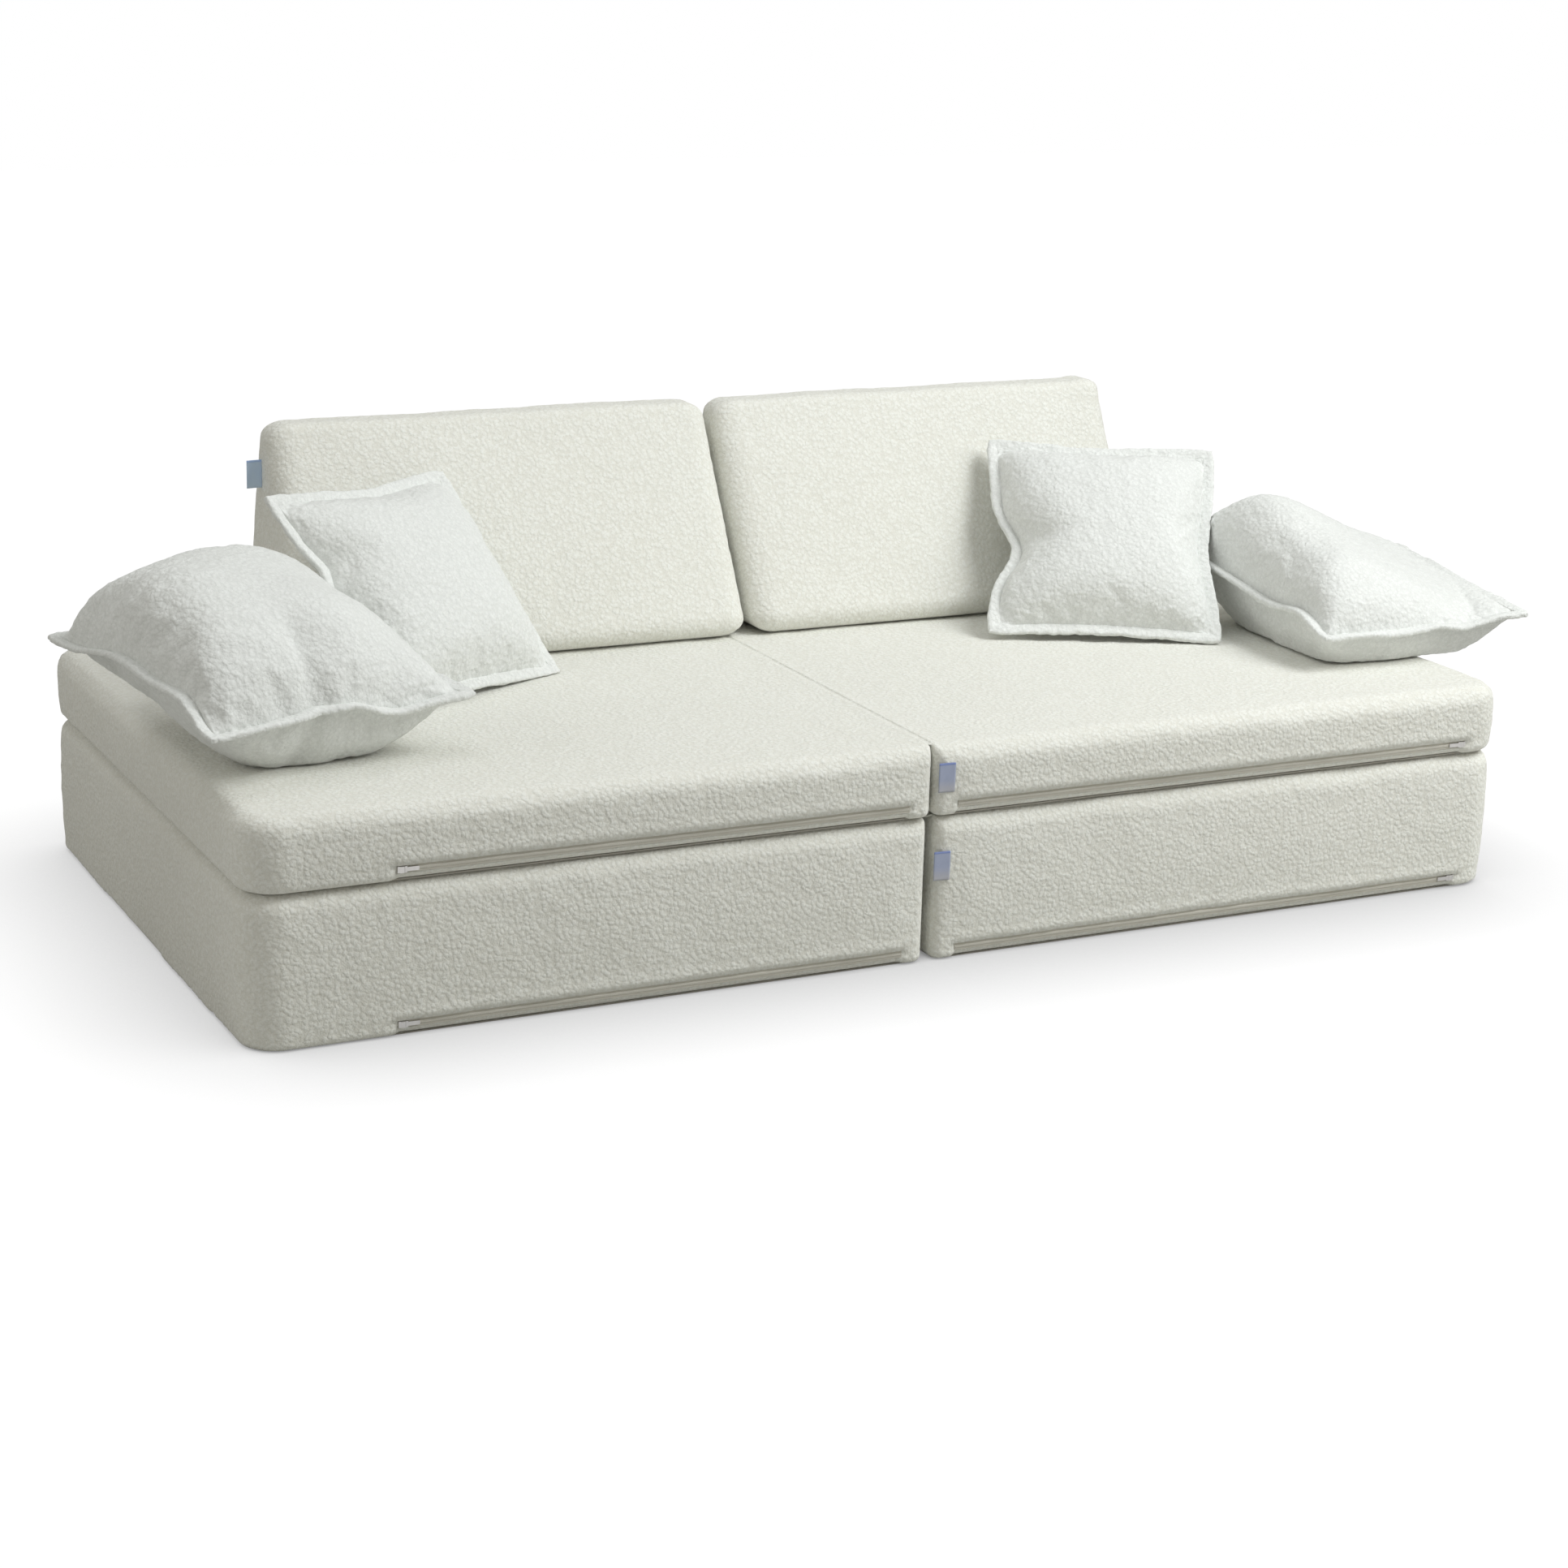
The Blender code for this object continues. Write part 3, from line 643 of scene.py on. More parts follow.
def block_loops(low, high, fold_side, fold_edge, levels, count, bend):
    """Loops of a block from its underside to its top, with extra ones at the given levels.

    Each edge is a quarter circle: after t quarter turns a loop has drawn in by r (1 - sin t) and
    stands r (1 - cos t) above the underside.
    """
    quarter = np.linspace(0, math.pi / 2, bend)
    foot_z = low[2] + BOTTOM_EDGE_RADIUS * (1 - np.cos(quarter))
    edge_z = high[2] - TOP_EDGE_RADIUS * (1 - np.sin(quarter))
    rows = max(int((edge_z[0] - foot_z[-1]) / ROW_PITCH), 2)
    middle_z = np.linspace(foot_z[-1], edge_z[0], rows + 1)[1:-1]
    middle_z = middle_z[middle_z > max([foot_z[-1]] + [level + 0.002 for level in levels])]
    z = np.concatenate([foot_z, levels, middle_z, edge_z])
    insets = np.zeros((len(z), 4))
    insets[:bend] = (BOTTOM_EDGE_RADIUS * (1 - np.sin(quarter)))[:, None]
    for side in range(4):
        radius = fold_edge if side == fold_side else TOP_EDGE_RADIUS
        reach = np.clip(z - high[2] + radius, 0, radius)
        insets[:, side] = np.maximum(insets[:, side], radius - np.sqrt(radius ** 2 - reach ** 2))
    full = corner_radii(fold_side, FOLD_CORNER_RADIUS, OUTER_CORNER_RADIUS)
    radii = np.maximum(full - np.maximum(insets, np.roll(insets, 1, 1)), full / 3)
    flat = outline_loops(rectangle(low, high), insets, radii, [even(count - 2 * bend)] * 4, bend)
    return with_level(flat, z)


def foam_block(name, fold_side):
    """The foam core, just inside the cover."""
    low, high = node_box(name + "_foam")
    middle = (low + high) / 2
    loops = block_loops(low, high, fold_side, FOLD_EDGE_RADIUS, np.zeros(0), FOAM_POINTS, FOAM_BEND)
    points, faces = closed_stack(middle + (loops - middle) * FOAM_SHRINK, FOAM_POINTS, FOAM_POINTS)
    foam = make_piece(name + "_foam_core", points, faces, FOAM)
    padded_piece(foam, name, "_foam")


print("a cover's loops have", COVER_POINTS * 4, "points and a foam block's", FOAM_POINTS * 4)

# %% [markdown]
# ## Mattress covers
# The covers start from the same blocks. Every point then moves along its normal: out where the foam
# swells the sides, in and out where the cloth is uneven, and not at all where something lies on it.

# %% Mattress covers
HEM = 0.0002
SWELL = 0.0035
ROLL_DEPTH, ROLL_HEIGHT = 0.0022, 0.014
TUCK_TOP, TUCK_GROWTH = 0.0022, 0.0050


def block_rise(points, normals, low, high, fold_x, free_top):
    """How far a cover's points stand out, where free_top is 1 for a top that nothing rests on."""
    up = normals[:, 2]
    height = (points[:, 2] - low[2]) / (high[2] - low[2])
    from_fold = np.abs(points[:, 0] - fold_x)
    swell = SWELL * (1 - (2 * height - 1) ** 2) * (np.abs(up) < 0.5) * smooth(from_fold, 0.004, 0.05)
    uneven = layered_lumps(points, (0.0011, 0.11, 0.0), (0.0006, 0.035, 5.3), (0.0005, 0.0095, 9.1))
    edge_wear = 0.0016 * lumps(points, 0.07, 3.7) * smooth(up, 0.15, 0.6)
    share = np.where(up > 0.9, free_top, np.where(up < -0.5, 0.0, 1.0))
    rise = swell + share * (uneven + edge_wear * (up < 0.9))
    sunk_top = np.minimum(rise, 0.0006) - 0.0009 * smooth(up, 0.85, 0.98) * free_top
    return np.where(up > 0.5, sunk_top, rise) * smooth(from_fold, 0.002, 0.02)


def zip_recess(points, y, low, levels, run):
    """y with the slot of the zip drawn in, a soft roll above it and the hem below it tucked under."""
    z, from_front = points[:, 2], np.abs(points[:, 1] - low[1])
    front = from_front < 0.003
    slot = front & (z > levels[0] + HEM / 2) & (z < levels[-1] - HEM / 2)
    above = np.clip((z - levels[-1]) / ROLL_HEIGHT, 0, 1)
    roll = ROLL_DEPTH * np.sin(math.pi * above ** 0.6) * front * run * (z > levels[-1] - HEM)
    y = np.where(slot, y * (1 - run) + (low[1] + CLOTH) * run, y - roll)
    tuck = TUCK_TOP + TUCK_GROWTH * (1 - np.clip((z - low[2]) / (levels[0] - low[2]), 0, 1))
    tucked = y * (1 - run) + (np.maximum(y, low[1]) + tuck) * run
    return np.where((z < levels[0] + HEM / 2) & (from_front < 0.02), tucked, y)


def mattress_cover(name, fold_side, fold_edge, free_top):
    """The cover of a mattress half, swollen and uneven, with the recess of its zip."""
    low, high = node_box(name + "_cover")
    zip_low, zip_high = node_box(name + "_zip")
    levels = np.array([zip_low[2] - 2 * HEM, zip_low[2] - HEM, (zip_low[2] + zip_high[2]) / 2,
                       zip_high[2] + HEM, zip_high[2] + 2 * HEM])
    loops = block_loops(low, high, fold_side, fold_edge, levels, COVER_POINTS, COVER_BEND)
    points, faces = closed_stack(loops, COVER_POINTS, COVER_POINTS)
    cover = make_piece(name + "_boucle_cover", points, faces, BOUCLE)
    normals = get_normals(cover.data)
    fold_x = high[0] if fold_side == RIGHT_SIDE else low[0]
    moved = points + normals * block_rise(points, normals, low, high, fold_x, free_top)[:, None]
    run = along_zip(points[:, 0], zip_low[0], zip_high[0])
    moved[:, 1] = zip_recess(points, moved[:, 1], low, levels, run)
    set_points(cover.data, moved)
    padded_piece(cover, name, "_cover")


for half, fold_side in HALVES.items():
    is_seat = half.startswith("seat")
    mattress_cover(half, fold_side, fold_edge=0.003 if is_seat else 0.006, free_top=float(is_seat))
    foam_block(half, fold_side)

# %% [markdown]
# ## Bottom panels
# A mattress's underside is a sheet of plain lining, sewn in all round, that stands a fraction of a
# millimetre higher between its seams.

# %% Bottom panels
PANEL_THICKNESS, PANEL_LIFT, PANEL_FOLD_RADIUS = 0.0015, 0.0003, 0.006
PANEL_STRAIGHT, PANEL_BEND = 28, 6


def lining_panel(half, fold_side):
    """The sheet under a mattress half: an outline with the block's round corners, filled above and below.

    Its middle is lifted by 0.3 mm times (1 - u^2)(1 - w^2), where u and w run from -1 to 1 across it.
    """
    low, high = node_box(half + "_bottom_panel")
    high[2] = low[2] + PANEL_THICKNESS
    cover_low, cover_high = node_box(half + "_cover")
    edge = low[0] - cover_low[0] if fold_side == RIGHT_SIDE else cover_high[0] - high[0]
    radii = np.tile(corner_radii(fold_side, PANEL_FOLD_RADIUS, OUTER_CORNER_RADIUS - edge), (2, 1))
    straights = [even(PANEL_STRAIGHT)] * 4
    flat = outline_loops(rectangle(low, high), np.zeros((2, 4)), radii, straights, PANEL_BEND)
    count = PANEL_STRAIGHT + 2 * PANEL_BEND
    points, faces = closed_stack(with_level(flat, np.array([low[2], high[2]])), count, count)
    across = 2 * (points[:, :2] - low[:2]) / (high[:2] - low[:2]) - 1
    points[:, 2] += PANEL_LIFT * np.clip(np.prod(1 - across ** 2, axis=1), 0, 1)
    panel = make_piece(half + "_lining_panel", points, faces, LINING)
    panel.data.set_sharp_from_angle(angle=SHARP_ANGLE)
    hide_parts(half + "_bottom_panel")
    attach(panel, half)
    print(panel.name, "flat", np.round(high - low, 3)[:2])


for half, fold_side in HALVES.items():
    lining_panel(half, fold_side)

# %% [markdown]
# ## Cloth hinges
# Where the halves meet, a strip of boucle joins their tops. It is the hinge, and it lies between the two
# halves without riding on either.

# %% Cloth hinges
HINGE_THICKNESS, HINGE_SINK, HINGE_END, HINGE_ROWS = 0.0012, 0.0007, 0.004, 121


def cloth_hinge(mattress, reach, depth):
    """A strip of cloth across a fold, its middle creased down: depth below the tops at x = 0."""
    low, high = node_box(mattress + "_fold_web")
    top = node_box(mattress + "_left_cover")[1][2]
    x0 = SOFA_MIDDLE[0]
    across = np.array([-1, -0.7, -0.4, -0.2, -0.08, 0, 0.08, 0.2, 0.4, 0.7, 1]) * reach
    upper = top - (depth * np.exp(-(across / (0.22 * reach)) ** 2) + HINGE_SINK)
    along = np.linspace(low[1] + HINGE_END, high[1] - HINGE_END, HINGE_ROWS)
    rings = np.empty((len(along), 2 * len(across), 3))
    rings[..., 0] = x0 + np.concatenate([across, across[::-1]])
    rings[..., 1] = along[:, None]
    rings[..., 2] = np.concatenate([upper, (upper - HINGE_THICKNESS)[::-1]])
    waver = 0.0003 * lumps(rings.reshape(-1, 3) * [0, 1, 0], 0.02, 2.2).reshape(rings.shape[:2])
    rings[..., 2] -= np.abs(waver)
    strip = tube(mattress + "_cloth_hinge", rings[:, ::-1], BOUCLE)
    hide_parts(mattress + "_fold_web")
    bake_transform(strip)
    print(strip.name, "flat", round(2 * reach, 3), "x", round(along[-1] - along[0], 3))


cloth_hinge("base", reach=0.018, depth=0.0012)
cloth_hinge("seat", reach=0.012, depth=0.0006)

# %% [markdown]
# ## Zips
# A zip is a tape with two rows of teeth that take turns. Its cross-section is carried along the run, and
# the two halves of the coil rise and fall in opposite step, one tooth every 2.4 mm. The sliders are the
# packed model's own pieces in their metal.

# %% Zips
TAPE_THICKNESS, TAPE_RECESS, CHAIN_WIDTH, CHAIN_RISE = 0.0014, 0.0010, 0.0036, 0.0011
TOOTH, RINGS_PER_TOOTH = 0.0024, 4
ZIP_OVERLAP, END_GAP, EDGE_GAP = 0.0006, 0.0004, 0.0003


def zip_strip(name, place, axes, run):
    """A zip's tape and teeth in the frame of axes: along the run, out of the cloth and across.

    The teeth's height is the crest times 0.72 + 0.28 cos(turns), with the turn of the other row half a
    tooth later.
    """
    half, ridge = ZIP_BAND / 2 - EDGE_GAP, CHAIN_WIDTH / 2
    along = np.linspace(-run / 2 + END_GAP, run / 2 - END_GAP, int(run / TOOTH * RINGS_PER_TOOTH) + 1)
    side = np.array([ridge * 0.1, ridge * 0.6, ridge, ridge * 1.1, half, half])
    across = np.concatenate([-side[::-1], side])
    out = np.full((len(along), len(across)), -TAPE_RECESS)
    out[:, [0, -1]] -= TAPE_THICKNESS
    swing = 0.28 * np.cos(2 * math.pi * along / TOOTH)
    left, right = CHAIN_RISE * (0.72 + swing), CHAIN_RISE * (0.72 - swing)
    out[:, 3:9] += np.stack([0.35 * left, left, 0.8 * left, 0.8 * right, right, 0.35 * right], 1)
    axes = np.asarray(axes, float)
    rings = place + along[:, None, None] * axes[0] + out[..., None] * axes[1] + across[:, None] * axes[2]
    uv = np.stack(np.broadcast_arrays(along[:, None], across), -1) * 1000
    order = -1 if np.linalg.det(axes) < 0 else 1
    piece = tube(name + "_zip_strip", rings[:, ::order], ZIP_TAPE, uv[:, ::order])
    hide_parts(name + "_zip")
    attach(piece, name)
    print(piece.name, round(run, 3), "m")


for half in HALVES:
    low, high = node_box(half + "_zip")
    place = np.array([(low[0] + high[0]) / 2, node_box(half + "_cover")[0][1], (low[2] + high[2]) / 2])
    zip_strip(half, place, ((1, 0, 0), (0, -1, 0), (0, 0, 1)), high[0] - low[0] + ZIP_OVERLAP)

# %% [markdown]
# ## Back wedges
# A wedge is a foam block with a sloped front, cut so that it leans back. Its outline is carried from one
# end to the other, and at each end it draws in along a quarter ellipse, which makes the soft upright
# edges. The front swells a little, and the zip lies low on the rear face.

# %% Wedge shape
WEDGE_HEIGHT, WEDGE_FOOT, WEDGE_SETBACK, WEDGE_TOP = 0.291, 0.290, 0.165, 0.050
WEDGE_RADII, LEAST_RADIUS = (0.022, 0.010, 0.018, 0.018), 0.003
WEDGE_END_REACH, WEDGE_END_DEPTH = 0.034, 0.024
WEDGE_ZIP_RISE, ZIP_STEP = 0.045, 0.0004
BELOW_ZIP = 9


def wedge_corners(low, high):
    """Toe, heel, rear top and front top of a wedge's outline, as y and z."""
    toe, front_top = high[1] - WEDGE_FOOT, high[1] - WEDGE_FOOT + WEDGE_SETBACK
    return np.array([(toe, low[2]), (high[1], low[2]), (front_top + WEDGE_TOP, low[2] + WEDGE_HEIGHT),
                     (front_top, low[2] + WEDGE_HEIGHT)])


def rear_fractions(corners, count):
    """Where count points lie on the straight of the rear face, with four of them at the zip's edges."""
    half = (math.pi / 2 + math.atan2(WEDGE_SETBACK + WEDGE_TOP - WEDGE_FOOT, WEDGE_HEIGHT)) / 2
    tangent = WEDGE_RADII[1] / math.tan(half)
    edges = np.array([-ZIP_BAND / 2 - ZIP_STEP, -ZIP_BAND / 2, ZIP_BAND / 2, ZIP_BAND / 2 + ZIP_STEP])
    part = (WEDGE_ZIP_RISE + edges - tangent) / (np.linalg.norm(corners[2] - corners[1]) - 2 * tangent)
    above = np.linspace(part[-1], 1, count - BELOW_ZIP - 2)[1:-1]
    return np.concatenate([np.linspace(0, part[0], BELOW_ZIP)[:-1], part, above, [0.999]])


def wedge_solid(name, inset, along, up, bend, pitch):
    """Points and faces of a wedge drawn in by inset, with rows pitch metres apart."""
    low, high = node_box(name + "_cover")
    corners = wedge_corners(low, high)
    quarter = np.linspace(0, math.pi / 2, bend + 1)
    end_x = (WEDGE_END_REACH - inset) * (1 - np.cos(quarter))
    end_inset = (WEDGE_END_DEPTH - inset) * (1 - np.sin(quarter))
    middle = np.linspace(low[0] + WEDGE_END_REACH, high[0] - WEDGE_END_REACH,
                         int((high[0] - low[0]) / pitch) + 1)[1:-1]
    x = np.concatenate([low[0] + inset + end_x, middle, (high[0] - inset - end_x)[::-1]])
    drawn = np.concatenate([end_inset, np.zeros(len(middle)), end_inset[::-1]])
    insets = np.repeat((inset + drawn)[:, None], 4, 1)
    radii = np.maximum(np.array(WEDGE_RADII) - insets, LEAST_RADIUS)
    level, slope = even(along - 2 * bend), even(up - 2 * bend)
    fractions = [level, rear_fractions(corners, len(slope)), level, slope]
    flat = outline_loops(corners, insets, radii, fractions, bend)
    return closed_stack(with_level(flat, x, first=True), along, up)


print("toe, heel, rear top and front top:", *wedge_corners(*node_box("back_left_cover")).round(3))

# %% [markdown]
# ## Wedges in their covers
# A wedge's cover moves along its normals as a mattress's does. In the photograph the right wedge's outer
# top corner stands up like an ear. The zip's band on the rear face sinks by the cloth's thickness.

# %% Wedges
def wedge_rise(name, points, normals, low, high):
    """How far a wedge cover's points stand out: a crown on the front, unevenness, and none underneath."""
    across = (points[:, 0] - low[0]) / (high[0] - low[0])
    height = (points[:, 2] - low[2]) / WEDGE_HEIGHT
    crown = (1 - (2 * across - 1) ** 4) * (1 - (2 * height - 1) ** 2)
    swell = 0.0040 * crown * (normals[:, 1] < -0.5)
    uneven = layered_lumps(points, (0.0014, 0.12, 1.3), (0.0006, 0.035, 6.1), (0.0005, 0.0095, 2.4))
    ear = np.exp(-((across - 1) / 0.05) ** 2 - ((height - 1) / 0.10) ** 2) * (name == "back_right")
    uneven = uneven + 0.0060 * ear * (normals[:, 2] > -0.2)
    share = np.where(normals[:, 2] < -0.6, 0.0, 1.0) * smooth(height, 0.0, 0.06)
    towards_gap = np.abs(normals[:, 0]) > 0.7
    return share * (np.where(towards_gap, np.minimum(uneven, 0.0012), uneven) + swell)


def wedge(name):
    """A wedge's cover with its recess, its foam and its zip."""
    points, faces = wedge_solid(name, inset=0.0, along=52, up=76, bend=8, pitch=0.006)
    cover = make_piece(name + "_boucle_cover", points, faces, BOUCLE)
    normals = get_normals(cover.data)
    low, high = node_box(name + "_cover")
    moved = points + normals * wedge_rise(name, points, normals, low, high)[:, None]

    heel, rear_top = wedge_corners(low, high)[1:3]
    up = (rear_top - heel) / np.linalg.norm(rear_top - heel)
    out = np.array([up[1], -up[0]])
    along, away = (points[:, 1:] - heel) @ up, (points[:, 1:] - heel) @ out
    zip_low, zip_high = node_box(name + "_zip")
    run = along_zip(points[:, 0], zip_low[0], zip_high[0])
    band = (np.abs(along - WEDGE_ZIP_RISE) < ZIP_BAND / 2 + HEM) & (away > -0.002) & (run > 0)
    sunk = points - np.array([0, *out]) * CLOTH * run[:, None]
    set_points(cover.data, np.where(band[:, None], sunk, moved))
    padded_piece(cover, name, "_cover")

    points, faces = wedge_solid(name, inset=0.0045, along=20, up=36, bend=3, pitch=0.04)
    foam = make_piece(name + "_foam_core", points, faces, FOAM)
    padded_piece(foam, name, "_foam")
    place = np.array([(zip_low[0] + zip_high[0]) / 2, *(heel + up * WEDGE_ZIP_RISE)])
    zip_strip(name, place, ((1, 0, 0), (0, *out), (0, *up)), zip_high[0] - zip_low[0] + ZIP_OVERLAP)


for name in ("back_left", "back_right"):
    wedge(name)

# %% [markdown]
# ## Tags
# Each tag is a folded ribbon, left bare. It hangs from its seam and curls a little away from the cloth.
# Satin shows fine warp threads along it. In the photograph the fold at a tag's top has a deeper tone and its
# free end is paler. The tag on the wedge's end takes a lighter copy of the ribbon: painted light, since that
# end lies in shade.

# %% Ribbon
WARP_THREADS = 42


def satin_ribbon(name, low, high, fold, end):
    """Satin ribbon between two tones, with those of its top fold and its free end. Its UV map has the
    width from 0 to 1, then the height from 0 to 1."""
    ribbon = Finish(name, Roughness=0.5, Sheen_Weight=0.2)
    across, up = ribbon.split(ribbon.place("UV"))[:2]
    threads = ribbon.math("SINE", across * (2 * math.pi * WARP_THREADS)) * 0.5 + 0.5
    tone = threads * 0.3 + ribbon.noise(ribbon.place(), 0.006) * 0.7
    pale = ribbon.mix(1 - ribbon.rise(up, 0.05, 0.5), ribbon.mix(tone, low, high), end)
    return ribbon.done(ribbon.mix(ribbon.rise(up, 0.90, 0.95), pale, fold), threads, 0.0001)


RIBBON = satin_ribbon("tag_ribbon", low=(0.35, 0.40, 0.56), high=(0.45, 0.50, 0.66),
                      fold=(0.20, 0.26, 0.52), end=(0.50, 0.51, 0.57))
# A lighter copy of the same ribbon: painted light for the tag on the wedge's end, which lies in shade.
SHADE_LIGHTENED_RIBBON = satin_ribbon("tag_ribbon_pale", low=(0.57, 0.74, 1.0), high=(0.67, 0.82, 1.0),
                           fold=(0.46, 0.63, 0.98), end=(0.65, 0.80, 1.0))
print("made", RIBBON.name, SHADE_LIGHTENED_RIBBON.name)

# %% [markdown]
# ## Where the tags hang
# A tag fills its node's box: flat between two sheets of points, which a wall joins round the rim.

# %% Tags
TAG_ROWS, TAG_COLUMNS, RIBBON_HALF = 17, 13, 0.0004


def ribbon_tag(node, body, root, bow, shift=0.0, finish=RIBBON):
    """A ribbon across a node's box: its free end bows out along bow, by a share that grows as a square.

    root is 1 or -1, for a ribbon that leaves its seam towards higher or lower x or y. shift moves it
    along x, to where the photograph shows its root.
    """
    low, high = node_box(node)
    span = high - low
    low = low + [shift, 0, 0]
    thin = int(np.argmin(span))
    width = 0 if thin == 1 else 1
    s, t = np.meshgrid(np.linspace(0, 1, TAG_COLUMNS)[::root], np.linspace(0, 1, TAG_ROWS))
    free = s if root > 0 else 1 - s
    front = np.zeros((TAG_ROWS, TAG_COLUMNS, 3))
    front[..., width] = low[width] + s * span[width]
    front[..., 2] = low[2] + t * span[2]
    front[..., thin] = low[thin] + span[thin] / 2 + bow * (free ** 2 + 0.3 * free * np.sin(2.2 * t))
    rear = front.copy()
    front[..., thin] -= RIBBON_HALF
    rear[..., thin] += RIBBON_HALF
    numbers = np.arange(s.size).reshape(s.shape)
    rim = grid_rim(numbers)
    wall = np.stack([rim + s.size, np.roll(rim, -1) + s.size, np.roll(rim, -1), rim], 1)
    faces = [grid_faces(numbers), grid_faces(numbers)[:, ::-1] + s.size, wall]
    uv = np.tile(np.stack([s, t], -1).reshape(-1, 2), (2, 1))
    points = np.concatenate([front.reshape(-1, 3), rear.reshape(-1, 3)])
    tag = make_piece(node + "_ribbon", points, faces, finish, uv)
    turn_outwards(tag.data)
    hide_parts(node)
    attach(tag, body)
    print(tag.name, "flat", np.round(span * 1000).astype(int), "mm")


ribbon_tag("seat_tag", "seat_right", root=1, bow=-0.0015)
ribbon_tag("base_tag", "base_right", root=1, bow=-0.0015, shift=-0.006)
# The wedge's tag takes the ribbon's lighter copy, as painted light for its shaded place.
ribbon_tag("back_left_tag", "back_left", root=-1, bow=-0.002, finish=SHADE_LIGHTENED_RIBBON)

# %% [markdown]
# ## Pillows
# A flanged pillow is two squares of boucle, sewn together a thumb's width inside their edges and stuffed
# with fibre. Two lean on the wedges and two lie at the seat's ends. The table has what each one's place
# and form differ in, as found in the photograph. On a pillow, u and w run from -1 to 1 across it.
# - place_shares: shares of the sofa's half length and the pillow's side, from the wedges' foot; for a
#   lying pillow shares of the side, from the leaning one beside it. turn: degrees about x, y and z.
# - slip: metres along x, y and z, then degrees. corners: metres, from (1, -1) on anticlockwise.
# - rims: axis, side, spot and spread along it, metres inwards and up.
# - lumps: spot, spread and height. dents: spot, two spreads and depth. heap: slopes along u and w.
# - folds: height, period and where they start and end. ruffle: height of the flange's waves.
# - growth and cap: of the cloth in the solver. ledge and thinned: how the cover clears the zip's slider.

# %% Pillow table
PLAIN = dict(
    slip=(0, 0, 0, 0), corners=((0, 0, 0),) * 4, rims=(), fullness=(0.25, 0.25), crown_share=0.160,
    belly_share=0.160, crown_heap=(0.0, 0.0), belly_heap=(0.0, 0.0), crown_lumps=(), belly_lumps=(),
    dents=(), folds=(0, 1, 0, 1), ruffle=0.0018, growth=0.02, cap=0.006, ledge=0.055, thinned=0)
PILLOWS = (
    dict(PLAIN, name="pillow_left_rear", side_share=0.913,
         place_shares=(-0.550, -0.133, 0.343), turn=(-12.6, 2.0, 27.5),
         corners=((0, 0, 0), (0, 0.003, 0), (-0.011, 0.002, 0), (0, 0, 0)),
         rims=((0, -1, 0.30, 0.16, 0.012, 0), (1, 1, 0.10, 0.35, 0.004, 0))),
    dict(PLAIN, name="pillow_left_front", side_share=1.020,
         place_shares=(-0.779, -0.615, 0.26574), turn=(-9.9, 0.2, 197.2),
         slip=(0.0068, -0.0056, 0.0017, -1.4207),
         corners=((-0.0084, -0.0023, -0.0119), (-0.0045, 0.0069, 0.0001), (-0.0112, 0.0141, 0.0079),
                  (0.0069, -0.0041, -0.0045)),
         rims=((0, 1, 0, 0.5, -0.0107, 0.0352), (0, 1, 0.6, 0.25, 0, 0.0239),
               (1, 1, -0.1, 0.5, -0.0046, 0.0121), (1, 1, -0.45, 0.25, 0, -0.0153),
               (1, 1, 0.14, 0.10, 0.006, 0)),
         fullness=(0.0728, 0.2829), crown_share=0.2621, belly_share=0.2513,
         crown_heap=(0.312, -0.414), belly_heap=(-0.345, 0.344),
         crown_lumps=((0.7, -0.65, 0.45, -0.03), (-0.45, -0.45, 0.5, 0.0039), (-0.4, 0.5, 0.5, 0.0285)),
         belly_lumps=((0.65, 0.6, 0.45, 0.0053), (0, 0.7, 0.45, 0.025), (-0.6, 0.6, 0.45, -0.025),
                      (0.7, -0.4, 0.45, 0.0033)),
         dents=((0.16, 0.70, 0.15, 0.16, 0.013), (-0.02, 0.80, 0.09, 0.10, 0.006)),
         folds=(0.0015, 0.030, 0.2, 0.95), ruffle=0.0034, growth=0.03),
    dict(PLAIN, name="pillow_right_rear", side_share=0.928,
         place_shares=(0.614, -0.203, 0.336), turn=(-15.9, 1.3, -25.6),
         rims=((0, -1, -0.16, 0.27, 0.030, 0), (0, 1, -0.10, 0.40, 0.009, 0)),
         dents=((-0.86, -0.14, 0.20, 0.10, 0.008),)),
    dict(PLAIN, name="pillow_right_front", side_share=1.007,
         place_shares=(0.863, -0.520, 0.20776), turn=(-8.2, 0.4, 181.1),
         slip=(0.0054, -0.01, 0.004, -3.75),
         corners=((0.0133, -0.0175, -0.0033), (-0.0145, 0.0175, -0.0098), (0.0107, 0.0172, 0.0084),
                  (-0.0175, 0.0175, -0.023)),
         rims=((0, 1, 0, 0.5, 0.0089, -0.009), (0, 1, 0.6, 0.25, 0, 0.0146),
               (1, 1, 0.22, 0.5, -0.015, -0.0051), (1, 1, -0.45, 0.25, 0, -0.0115)),
         fullness=(0.1, 0.14), crown_share=0.1658, belly_share=0.287,
         crown_heap=(1.0339, -0.3737), belly_heap=(0.2743, 0.2374),
         crown_lumps=((0.7, -0.65, 0.45, 0.01), (-0.45, -0.45, 0.5, -0.01)),
         belly_lumps=((0.65, 0.6, 0.45, 0.0029), (-0.6, 0.6, 0.45, 0.0042), (0.7, -0.4, 0.45, 0.0078)),
         dents=((0.55, 0.78, 0.25, 0.12, 0.004),), ruffle=0.0022, growth=0.008, cap=0.0025,
         ledge=0.085, thinned=1),
)
print("pillows:", [pillow["name"] for pillow in PILLOWS])

# %% [markdown]
# ## Where the pillows lie
# Each pillow has a turn and a place, and its points are worked out in its own axes first. What would go
# into the seat, a wedge or the leaning pillow beside it is pressed flat against that.

